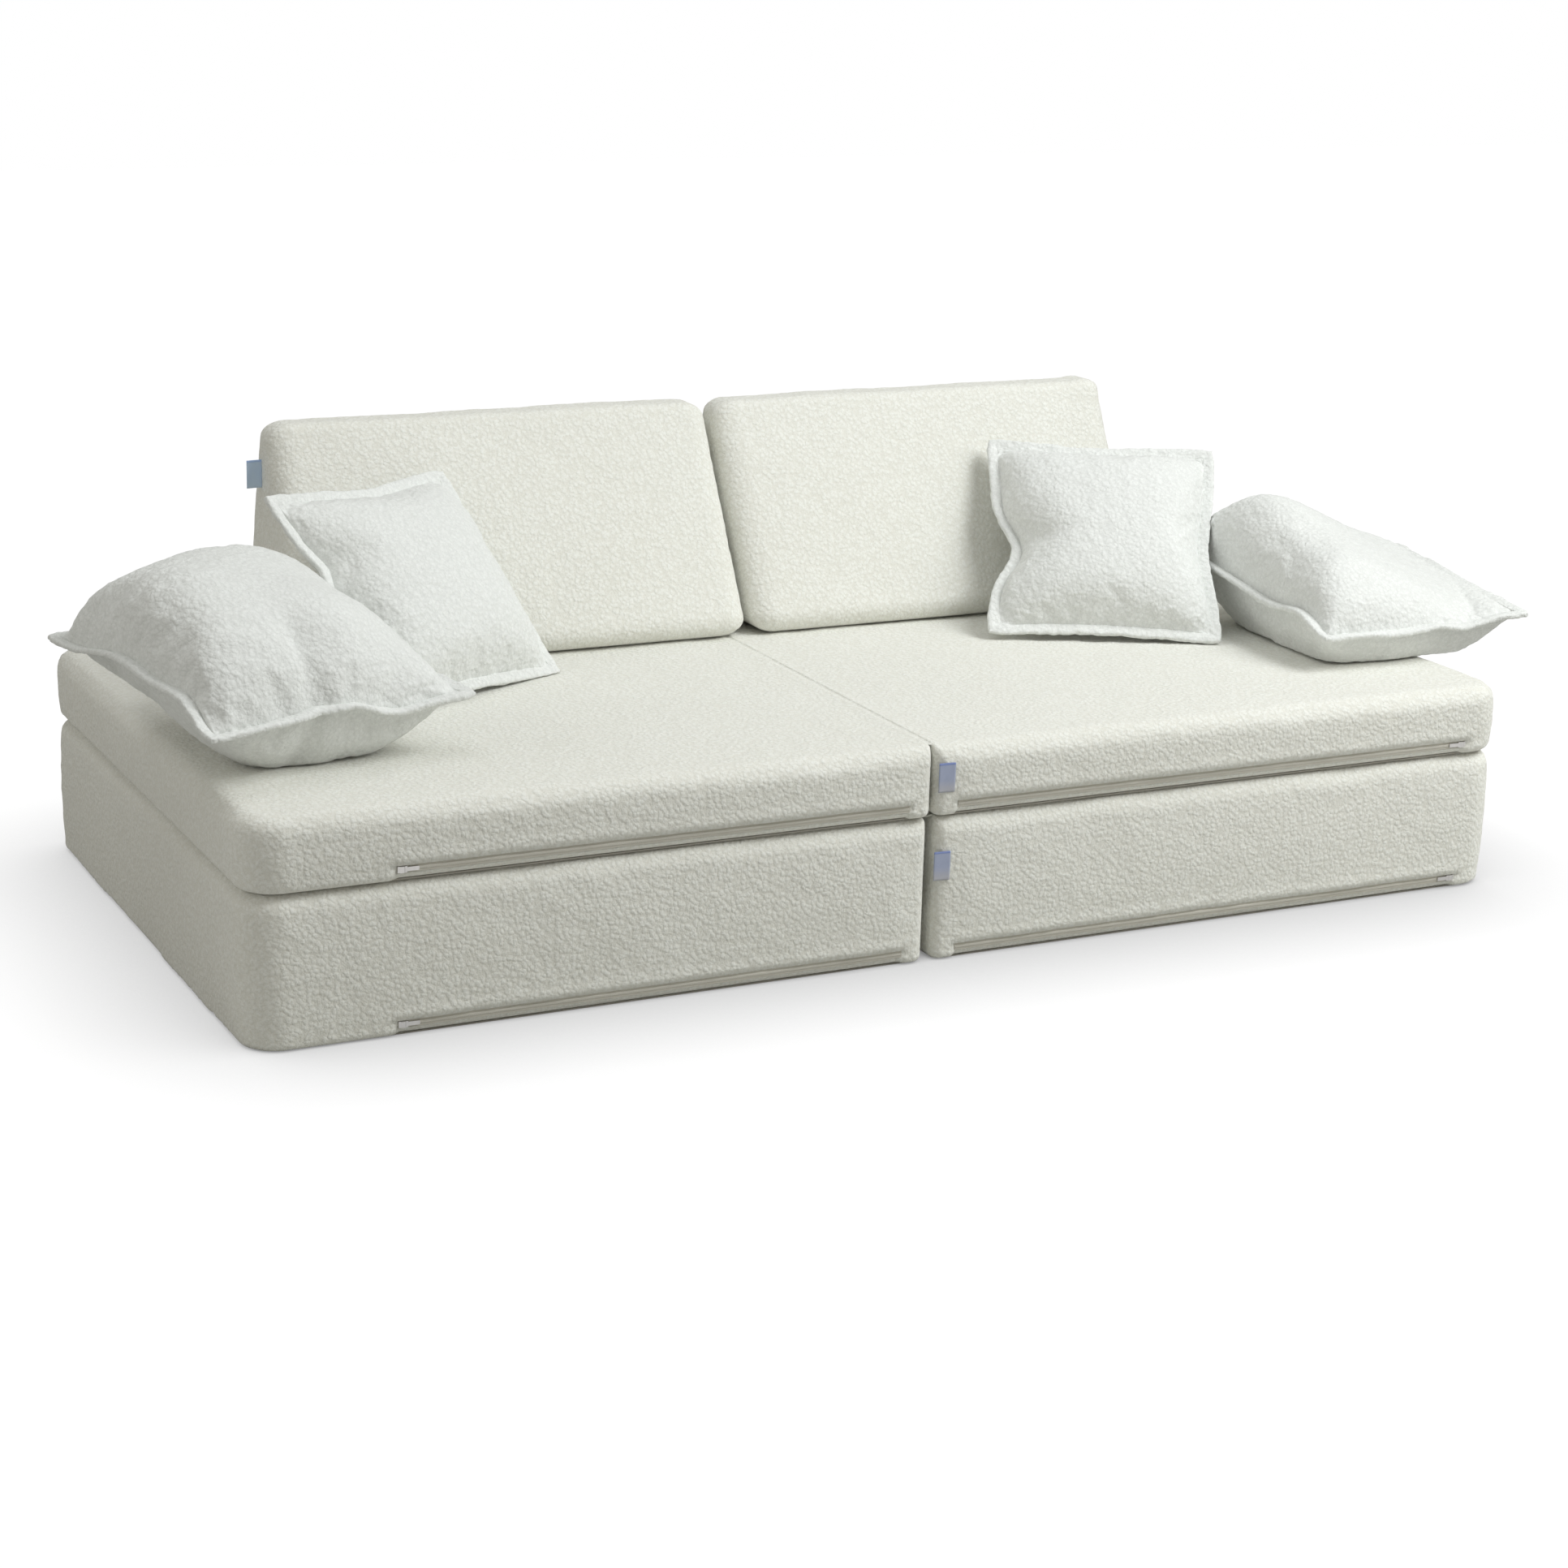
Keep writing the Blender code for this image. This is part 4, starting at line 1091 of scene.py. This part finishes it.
# %% Pillow places
PILLOW_SIDE, PILLOW_FLANGE, PILLOW_ZIP = 0.345, 0.014, 0.160
SOFA_LENGTH = 1.680
SEAM_SHARE, NEIGHBOUR_CLOTH, LEAST_GAP = 0.94, 0.005, 0.0006

toe, front_top = wedge_corners(*node_box("back_left_cover"))[[0, 3]]
wedge_up = (front_top - toe) / np.linalg.norm(front_top - toe)
WEDGE_SLOPE = math.degrees(math.atan2(wedge_up[1], wedge_up[0]))
FLOORS = ((np.array([0, 0, SEAT_TOP]), np.array([0.0, 0, 1.0])),
          (np.array([0.0, *toe]), np.array([0.0, -wedge_up[1], wedge_up[0]])))


def turned(angle, axis):
    """The 3 by 3 matrix of a turn by an angle in degrees about axis X, Y or Z."""
    return np.array(Matrix.Rotation(math.radians(angle), 3, axis))


places = {}
for pillow in PILLOWS:
    shares = np.array(pillow["place_shares"])
    slope, roll, swing = pillow["turn"]
    if pillow["name"].endswith("rear"):
        slope += WEDGE_SLOPE
        place = [SOFA_MIDDLE[0], toe[0], SEAT_TOP] + shares * [SOFA_LENGTH / 2, PILLOW_SIDE, PILLOW_SIDE]
        beside = place[:2]
    else:
        place = [*beside, SEAT_TOP] + shares * PILLOW_SIDE
    places[pillow["name"]] = (turned(swing, "Z") @ turned(roll, "Y") @ turned(slope, "X"), place)
    print(pillow["name"], "middle at", np.round(place, 3))


def to_world(pillow, points):
    turn, place = places[pillow["name"]]
    return points @ turn.T + place


def to_pillow(pillow, points):
    turn, place = places[pillow["name"]]
    return (points - place) @ turn


def clear_of(neighbour, points):
    """World points, moved out of a leaning pillow along its own z: its half thickness at u and w is its
    crown's share of the side times sqrt((1 - u^4)(1 - w^4)) and the fourth root of (1 - u^2)(1 - w^2)."""
    local = to_pillow(neighbour, points)
    half_side = PILLOW_SIDE * neighbour["side_share"] / 2
    u, w = (np.clip(np.abs(local[..., axis]) / half_side / SEAM_SHARE, 0, 1) for axis in (0, 1))
    thick = PILLOW_SIDE * neighbour["crown_share"] * np.sqrt((1 - u ** 4) * (1 - w ** 4)) \
        * ((1 - u ** 2) * (1 - w ** 2)) ** 0.25 + NEIGHBOUR_CLOTH * (u < 1) * (w < 1)
    depth = np.maximum(thick - np.abs(local[..., 2]), 0)
    return points + (depth * np.sign(local[..., 2]))[..., None] * places[neighbour["name"]][0][:, 2]


def settled(pillow, points, least=LEAST_GAP):
    """World points, moved out of the seat and the wedge to least metres above them, and out of the leaning
    pillow beside a lying one."""
    for origin, out in FLOORS:
        depth = (points - origin) @ out - least
        points = points - np.minimum(depth, 0)[..., None] * out
    if pillow["name"].endswith("front"):
        points = clear_of(PILLOWS[PILLOWS.index(pillow) - 1], points)
    return points


# %% [markdown]
# ## The seam
# The stuffing pulls a pillow's sides in, and its corners and sides are pushed to where the photograph
# shows them. The stretch with the zip stays at the packed zip.

# %% Seam
DRAWN_IN = 0.06


def seam_plane(pillow, u, w):
    """Local x, y and z of the seam's plane at u and w from -1 to 1: a square whose sides draw in at their
    middles, pushed about near its rim.

    Near a corner the push grows as the square of the way from both far sides. Along a side it is a bell
    curve times the square of the way from the far side: inwards, and up. The slip moves and turns all of
    it. The stretch of the rear side that holds the zip stays where it is.
    """
    half_side = PILLOW_SIDE * pillow["side_share"] / 2
    x = half_side * u * (1 - DRAWN_IN * (1 - w ** 2) * u ** 2)
    y = half_side * w * (1 - DRAWN_IN * (1 - u ** 2) * w ** 2)
    slip_x, slip_y, slip_z, swing = pillow["slip"]
    swing = math.radians(swing)
    push = np.stack([slip_x - swing * y, slip_y + swing * x, slip_z + 0 * x], -1)
    for (side_u, side_w), corner in zip(((1, -1), (1, 1), (-1, 1), (-1, -1)), pillow["corners"]):
        push += (((1 + side_u * u) * (1 + side_w * w) / 4) ** 2)[..., None] * corner
    for axis, sign, spot, spread, inwards, rise in pillow["rims"]:
        along, across = (w, u) if axis == 0 else (u, w)
        share = np.exp(-((along - spot) / spread) ** 2) * ((1 + sign * across) / 2) ** 2
        push[..., axis] -= sign * inwards * share
        push[..., 2] += rise * share
    free = 1 - (1 - smooth(np.abs(u), 0.55, 0.85)) * (1 - smooth(w, -1.0, -0.5))
    return np.stack([x, y, 0 * x], -1) + push * free[..., None]


print("corners of a seam:", *seam_plane(PILLOWS[0], np.array([1, -1]), np.array([1, 1])).round(3))

# %% [markdown]
# ## The stuffed shape
# Both faces bulge from the seam's plane, and lumps, dents and pull folds come on top. Near the zip the
# lower face leaves a ledge free.

# %% Stuffed shape
EDGE_CROWDING, SEAM_FADE = 0.75, 60


def folds(pillow, x, u, w, y):
    """Soft pull folds on the crown: a sine across them, faded out towards both ends of their reach."""
    height, period, first, last = pillow["folds"]
    fade = smooth(u, first, first + 0.3) * (1 - smooth(u, last - 0.2, last)) * (1 - w ** 4)
    return height * fade * np.sin(2 * math.pi * (y + 0.25 * x) / period)


def dent(pillow, u, w):
    """How far the crown sinks at u and w: a bell for each of the pillow's dents."""
    total = np.zeros_like(u)
    for spot_u, spot_w, spread_u, spread_w, depth in pillow["dents"]:
        total += depth * np.exp(-((u - spot_u) / spread_u) ** 2 - ((w - spot_w) / spread_w) ** 2)
    return total


def stuffing(share, heap, fillings, u, w):
    """How high a face stands at u and w: a share of the side, heaped towards two sides, plus round lumps."""
    height = PILLOW_SIDE * share * (1 + heap[0] * u + heap[1] * w)
    for spot_u, spot_w, spread, lump in fillings:
        height = height + lump * np.exp(-((u - spot_u) ** 2 + (w - spot_w) ** 2) / spread ** 2)
    return height


def pillow_sheets(pillow, steps, inset):
    """Points and faces of a pillow between its seams, in its own axes, with its seam's point numbers.

    The bulge is sqrt((1 - u^4)(1 - w^4)) times a power of (1 - u^2)(1 - w^2), where u and w run from -1
    to 1 between the seams: the smaller the power, the steeper the face leaves its seam.
    """
    half_side = PILLOW_SIDE * pillow["side_share"] / 2
    seam = (half_side - PILLOW_FLANGE - inset) / half_side
    even_steps = np.linspace(-1, 1, steps + 1)
    stations = np.sin(even_steps * math.pi / 2) * EDGE_CROWDING + even_steps * (1 - EDGE_CROWDING)
    u, w = np.meshgrid(stations, stations)
    x, y, sheet_z = np.moveaxis(seam_plane(pillow, seam * u, seam * w), -1, 0)
    numbers = np.arange(u.size).reshape(u.shape)
    inner = np.zeros(u.shape, bool)
    inner[1:-1, 1:-1] = True
    belly_numbers = numbers.copy()
    belly_numbers[inner] = numbers.size + np.arange(inner.sum())
    soft = np.clip((1 - np.abs(u)) * (1 - np.abs(w)) * SEAM_FADE, 0, 1)
    past_zip = smooth(np.abs(x), PILLOW_ZIP / 2 + 0.004, PILLOW_ZIP / 2 + 0.024)
    sheets = []
    for face, name, power in zip((1, -1), ("crown", "belly"), pillow["fullness"]):
        beside_zip = (1 - past_zip) * (w < 0) * (face < 0)
        bare = beside_zip * smooth(np.abs(w), 1 - 1.4 * pillow["ledge"], 1 - pillow["ledge"])
        thick = CLOTH * soft * (1 - pillow["thinned"] * bare)
        over = np.clip(np.abs(w) / (1 - pillow["ledge"] * beside_zip), 0, 1)
        bulge = np.sqrt((1 - u ** 4) * (1 - over ** 4)) * ((1 - u ** 2) * (1 - over ** 2)) ** power
        height = stuffing(pillow[name + "_share"], pillow[name + "_heap"], pillow[name + "_lumps"], u, w)
        z = face * (thick + np.maximum(height - inset, 0) * bulge)
        if face > 0:
            z = z - np.minimum(dent(pillow, u, w) * bulge, 0.6 * z) + folds(pillow, x, u, w, y)
        sheets.append(np.stack([x, y, z + sheet_z], -1))
    crown, belly = sheets
    points = np.concatenate([crown.reshape(-1, 3), belly[inner]])
    return points, [grid_faces(numbers), grid_faces(belly_numbers)[:, ::-1]], grid_rim(numbers)


print("seam of", PILLOWS[0]["name"], "has", len(pillow_sheets(PILLOWS[0], 8, 0.0)[2]), "points at 8 steps")

# %% [markdown]
# ## Blowing the pillows up
# The cloth folds where it has too much length: along the seams and at the corners. A sum can't make those
# folds, so the cover starts from the stuffed shape and Blender's cloth solver blows it up. It needs few
# settings here: pressure pushes the cloth out, a negative shrinkage lets it grow by a few percent, weak
# bending allows folds, and the seam is pinned. Each pillow is done alone. Points that would leave the
# shape too far are held back by the cap.

# %% Cloth simulation
FIRST_FRAME, LAST_FRAME = 1, 20
SOLVER = dict(quality=5, mass=0.2, tension_stiffness=12, compression_stiffness=12, shear_stiffness=4,
              bending_stiffness=1.2, use_pressure=True, uniform_pressure_force=4)


def blow_up(piece, pinned, growth, cap):
    """Runs the cloth solver on a piece and writes the result into its mesh.

    A point may end at most cap metres from where it started: longer moves are cut to cap times
    tanh(move / cap).
    """
    start = get_points(piece.data)
    group = piece.vertex_groups.new(name="seam")
    group.add(pinned.tolist(), 1.0, "REPLACE")
    cloth = piece.modifiers.new("stuffing", "CLOTH")
    for name, value in SOLVER.items():
        setattr(cloth.settings, name, value)
    cloth.settings.shrink_min = -growth
    cloth.settings.vertex_group_mass = "seam"
    cloth.settings.effector_weights.gravity = 0
    cloth.point_cache.frame_start = FIRST_FRAME
    cloth.point_cache.frame_end = LAST_FRAME
    for number in range(FIRST_FRAME, LAST_FRAME + 1):
        scene.frame_set(number)
    move = get_points(piece.evaluated_get(bpy.context.evaluated_depsgraph_get()).data) - start
    piece.modifiers.remove(cloth)
    piece.vertex_groups.remove(group)
    scene.frame_set(FIRST_FRAME)
    far = np.maximum(np.linalg.norm(move, axis=1, keepdims=True), 1e-9)
    set_points(piece.data, start + move / far * cap * np.tanh(far / cap))
    print(piece.name, "moved by up to", round(float(far.max()) * 1000, 1), "mm before the cap")


def pillow_body(pillow, steps):
    """The stuffed part of a pillow: the packed shape, blown up by the cloth solver."""
    points, faces, rim = pillow_sheets(pillow, steps, 0.0)
    world = settled(pillow, to_world(pillow, points))
    piece = make_piece(pillow["name"] + "_boucle_cover", world, faces, PILLOW_BOUCLE)
    blow_up(piece, rim, pillow["growth"], pillow["cap"])
    moved = get_points(piece.data)
    uneven = layered_lumps(moved, (0.0010, 0.03, 8.8), (0.0012, 0.07, 2.8))
    uneven[rim] = 0
    local = to_pillow(pillow, moved)
    beside_zip = (1 - smooth(np.abs(local[:, 0]), PILLOW_ZIP / 2 + 0.005, PILLOW_ZIP / 2 + 0.03)) \
        * (1 - smooth(local[:, 1], -0.128, -0.10))
    uneven *= 1 - beside_zip
    set_points(piece.data, settled(pillow, moved + get_normals(piece.data) * uneven[:, None]))
    return piece, rim


print("solver settings:", SOLVER)

# %% [markdown]
# ## The flange
# Outside the seam both layers of cloth lie on each other as a soft, fuzzy border about 14 mm wide. It
# is a flat rounded strip that follows the seam, and it ruffles, because the seam is shorter than the
# border's edge. It is worked out after the simulation, from where the seam lies.

# %% Flange
CORNER_FAN, SEAM_OVERLAP, RING_POINTS = 0.022, 0.003, 16
SEAM_HALF, FLANGE_GROWTH = 0.0020, 0.0021


def flange_rings(pillow, seam_points):
    """Rings of local points across the border, one for each point of the seam.

    The border leaves the seam square to its side, and fans out over the last 22 mm before a corner, so
    that the corner is round. Across, its half thickness grows from 2 mm at the seam to 4 mm and ends in
    a half round: q = (1 + cos|cos|^-0.4) / 2 outwards and sin|sin|^-0.3 upwards. Its middle line rises
    and falls by a noise along the seam, and most at its free edge.
    """
    count = len(seam_points)
    quarter = count // 4
    flat = seam_points * [1, 1, 0]
    out, corner_share = np.empty((count, 3)), np.empty(count)
    normals = np.array([(0, -1, 0), (1, 0, 0), (0, 1, 0), (-1, 0, 0)], float)
    for side in range(4):
        run = np.arange(side * quarter, (side + 1) * quarter)
        ends = (flat[corner * quarter % count] for corner in (side, side + 1))
        first, last = (0.5 - 0.5 * smooth(np.linalg.norm(flat[run] - end, axis=1), 0.0, CORNER_FAN)
                       for end in ends)
        out[run] = (1 - first - last)[:, None] * normals[side] + first[:, None] * normals[side - 1] \
            + last[:, None] * normals[(side + 1) % 4]
        corner_share[run] = 2 * np.maximum(first, last)
    out /= np.linalg.norm(out, axis=1, keepdims=True)
    seed = 10 * pillow["side_share"]
    width = PILLOW_FLANGE * (1 + 0.16 * corner_share) + 0.0016 * lumps(flat, 0.030, seed + 7)
    wave = pillow["ruffle"] * layered_lumps(flat, (1, 0.045, seed), (0.5, 0.020, seed + 3))
    wave *= 1 - 0.8 * corner_share
    turns = np.linspace(0, 2 * math.pi, RING_POINTS, endpoint=False)
    cos, sin = np.cos(turns), np.sin(turns)
    q = 0.5 + 0.5 * np.sign(cos) * np.abs(cos) ** 0.6
    reach = -SEAM_OVERLAP + (width[:, None] + SEAM_OVERLAP) * q
    half_thick = (SEAM_HALF + FLANGE_GROWTH * smooth(q, 0.15, 0.75)) * np.sign(sin) * np.abs(sin) ** 0.7
    half_thick = half_thick * (1 + 0.16 * lumps(flat, 0.012, seed + 5))[:, None]
    rings = flat[:, None, :] + out[:, None, :] * reach[..., None]
    ruffled = wave[:, None] * np.clip(reach / PILLOW_FLANGE, 0, 2) ** 1.3
    height = seam_points[:, 2][:, None] + half_thick + ruffled
    half_side = PILLOW_SIDE * pillow["side_share"] / 2
    over_zip = (flat[:, 1] < -0.5 * half_side) & (np.abs(flat[:, 0]) < PILLOW_ZIP / 2 + 0.002)
    rings[..., 2] = np.where(over_zip[:, None] & (reach < 0.0045), np.maximum(height, -0.0002), height)
    return rings


print("a border's ring has", RING_POINTS, "points")

# %% [markdown]
# ## Finished pillows
# The border joins the pillow's mesh as a closed ring. One subdivision then rounds everything, and the
# finer mesh gets curls. Last come the fibre inside and the zip under the rear flange.

# %% Finished pillows
COVER_STEPS, FILLING_STEPS, FILLING_INSET, FILLING_GAP = 72, 20, 0.016, 0.008
ZIP_INSET, ZIP_SINK = 0.0037, 0.0003


def add_flange(pillow, piece, rim):
    """Adds the border to a pillow's mesh as a closed ring, and turns all faces outwards."""
    body_points = get_points(piece.data)
    rings = flange_rings(pillow, to_pillow(pillow, body_points)[rim])
    rings = settled(pillow, to_world(pillow, rings))
    body_faces = get_rows(piece.data.loops, "vertex_index", 1, np.int32).reshape(-1, 4)
    numbers = len(body_points) + np.arange(rings[..., 0].size).reshape(rings.shape[:2])
    faces = [body_faces, walls(np.concatenate([numbers, numbers[:1]]))]
    points = np.concatenate([body_points, rings.reshape(-1, 3)])
    piece.data = make_mesh(piece.name, points, faces, PILLOW_BOUCLE)
    turn_outwards(piece.data)


def raise_pile(pillow, piece):
    """Rounds a pillow with one subdivision, and raises curls about 6 mm wide on the finer mesh."""
    piece.modifiers.new("round", "SUBSURF").levels = 1
    solved = piece.evaluated_get(bpy.context.evaluated_depsgraph_get())
    fine = bpy.data.meshes.new_from_object(solved)
    piece.modifiers.clear()
    piece.data = fine
    points = get_points(fine)
    curls = layered_lumps(points, (0.0008, 0.0065, 4.4), (0.0003, 0.0035, 1.2))
    set_points(fine, settled(pillow, points + get_normals(fine) * curls[:, None]))
    fine.shade_smooth()


def finish_pillow(pillow):
    """One pillow: its cover with border and pile, its fibre filling and its zip."""
    name = pillow["name"]
    piece, rim = pillow_body(pillow, COVER_STEPS)
    add_flange(pillow, piece, rim)
    raise_pile(pillow, piece)
    padded_piece(piece, name, "_cover")
    points, faces = pillow_sheets(pillow, FILLING_STEPS, FILLING_INSET)[:2]
    world = settled(pillow, to_world(pillow, points), FILLING_GAP)
    filling = make_piece(name + "_fibre_filling", world, faces, FIBRE)
    padded_piece(filling, name, "_filling")
    half_side = PILLOW_SIDE * pillow["side_share"] / 2
    seam = (half_side - PILLOW_FLANGE) / half_side
    zip_y = ZIP_INSET - ZIP_BAND / 2 - half_side * seam * (1 - DRAWN_IN * seam ** 2)
    middle = to_world(pillow, np.array([0, zip_y, -(TAPE_RECESS + TAPE_THICKNESS + ZIP_SINK)]))
    turn = places[name][0]
    zip_strip(name, middle, [turn[:, 0], -turn[:, 2], turn[:, 1]], PILLOW_ZIP)


for pillow in PILLOWS:
    finish_pillow(pillow)

# %% [markdown]
# ## Metal on the sliders
# The sliders' solids have the right shape already: a body, a bridge and a pull. They only need metal.

# %% Sliders
for name, node in frame["nodes"].items():
    if name.endswith("_zip_slider"):
        node.data.materials.clear()
        node.data.materials.append(ZIP_METAL)
        print("metal on", name)

# %% [markdown]
# ## Light
# Four large soft lamps light the sofa: a strong key lamp from above and in front on the right, a weaker
# one above, and a low one on each side that fills the shadows. The sky is white to the camera and in
# reflections. The light that it gives the sofa is weaker and a little warm.

# %% Light
SKY_COLOUR, SKY_STRENGTH = (1.0, 0.965, 0.885), 0.27


def softbox(name, place, aim, size, watts, tint):
    """A square lamp of size metres that faces aim."""
    lamp = bpy.data.lights.new(name, "AREA")
    lamp.shape = "SQUARE"
    lamp.size = size
    lamp.energy = watts
    lamp.color = tint
    back = np.array(place, float) - np.array(aim, float)
    back /= np.linalg.norm(back)
    right = np.cross([0, 0, 1], back)
    right /= np.linalg.norm(right)
    stand(add_object(name, lamp), place, right, np.cross(back, right), back)


softbox("lamp_key", (1.9, -1.7, 3.1), (0.3, 0, 0.3), 2.0, 100, (0.968, 0.992, 1.0))
softbox("lamp_right_low", (2.3, -1.9, 1.3), (0.6, -0.4, 0.2), 1.3, 7, (1.0, 0.98, 0.93))
softbox("lamp_above", (-0.8, -0.1, 3.3), (-0.1, 0, 0.2), 2.0, 16, (0.95, 0.985, 1.0))
softbox("lamp_left_low", (-3.5, -0.2, 1.5), (-0.6, 0, 0.2), 2.0, 14, (1.0, 0.99, 0.95))

world = bpy.data.worlds.new("studio")
world.use_nodes = True
scene.world = world
studio = Nodes(world.node_tree)
sky = studio.tree.nodes["Background"]
studio.join(sky.inputs["Color"], opaque(*SKY_COLOUR))
studio.join(sky.inputs["Strength"], SKY_STRENGTH)
shown = studio.node("ShaderNodeBackground", {}, {"Color": opaque(1, 1, 1)})
either = studio.node("ShaderNodeMixShader", {}, {0: studio.seen_directly(),
                                                 1: Wire(studio, sky.outputs[0]), 2: shown})
studio.join(studio.tree.nodes["World Output"].inputs["Surface"], either)
print("lamps", [item.name for item in bpy.data.lights])

# %% [markdown]
# ## Floor
# To the camera and in reflections a glow lifts the floor to white too, except where the sofa keeps the
# open sky from it, so a soft shadow stays under the sofa. Other rays find a plain grey floor.

# %% Floor
FLOOR_REACH, FLOOR_Z = 9.0, -0.0004
SHADOW_REACH, SHADOW_POWER, LEAST_GLOW = 0.26, 0.8, 0.18

pale = Finish("studio_floor", Roughness=1.0, Specular_IOR_Level=0.0)
pale.feed("Base Color", opaque(0.50, 0.50, 0.48))
open_sky = pale.node("ShaderNodeAmbientOcclusion", {"samples": 12}, {"Distance": SHADOW_REACH}, "AO")
dim = pale.node("ShaderNodeBsdfDiffuse", {}, {"Color": opaque(0.06, 0.06, 0.06)})
strength = open_sky ** SHADOW_POWER * (1 - LEAST_GLOW) + LEAST_GLOW
glow = pale.node("ShaderNodeEmission", {}, {"Color": opaque(1, 1, 1), "Strength": strength})
both = pale.node("ShaderNodeAddShader", {}, {0: dim, 1: glow})
final = pale.node("ShaderNodeMixShader", {}, {0: pale.seen_directly(),
                                              1: Wire(pale, pale.shader.outputs[0]), 2: both})
pale.join(pale.tree.nodes["Material Output"].inputs["Surface"], final)

low, high = [-FLOOR_REACH] * 2, [FLOOR_REACH] * 2
corners = np.array([(x, y, FLOOR_Z) for x, y in rectangle(low, high)])
floor_mesh = make_mesh("studio_floor", corners, [np.array([[0, 1, 2, 3]])], pale.material)
floor = add_object("studio_floor", floor_mesh)
floor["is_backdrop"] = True
print("floor", 2 * FLOOR_REACH, "m wide")

# %% [markdown]
# ## Sizes and the end
# The box of what is seen is worked out and printed.

# %% Sizes and the end
low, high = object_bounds()
print("visual box", [round(value, 4) for value in (*low, *high)])
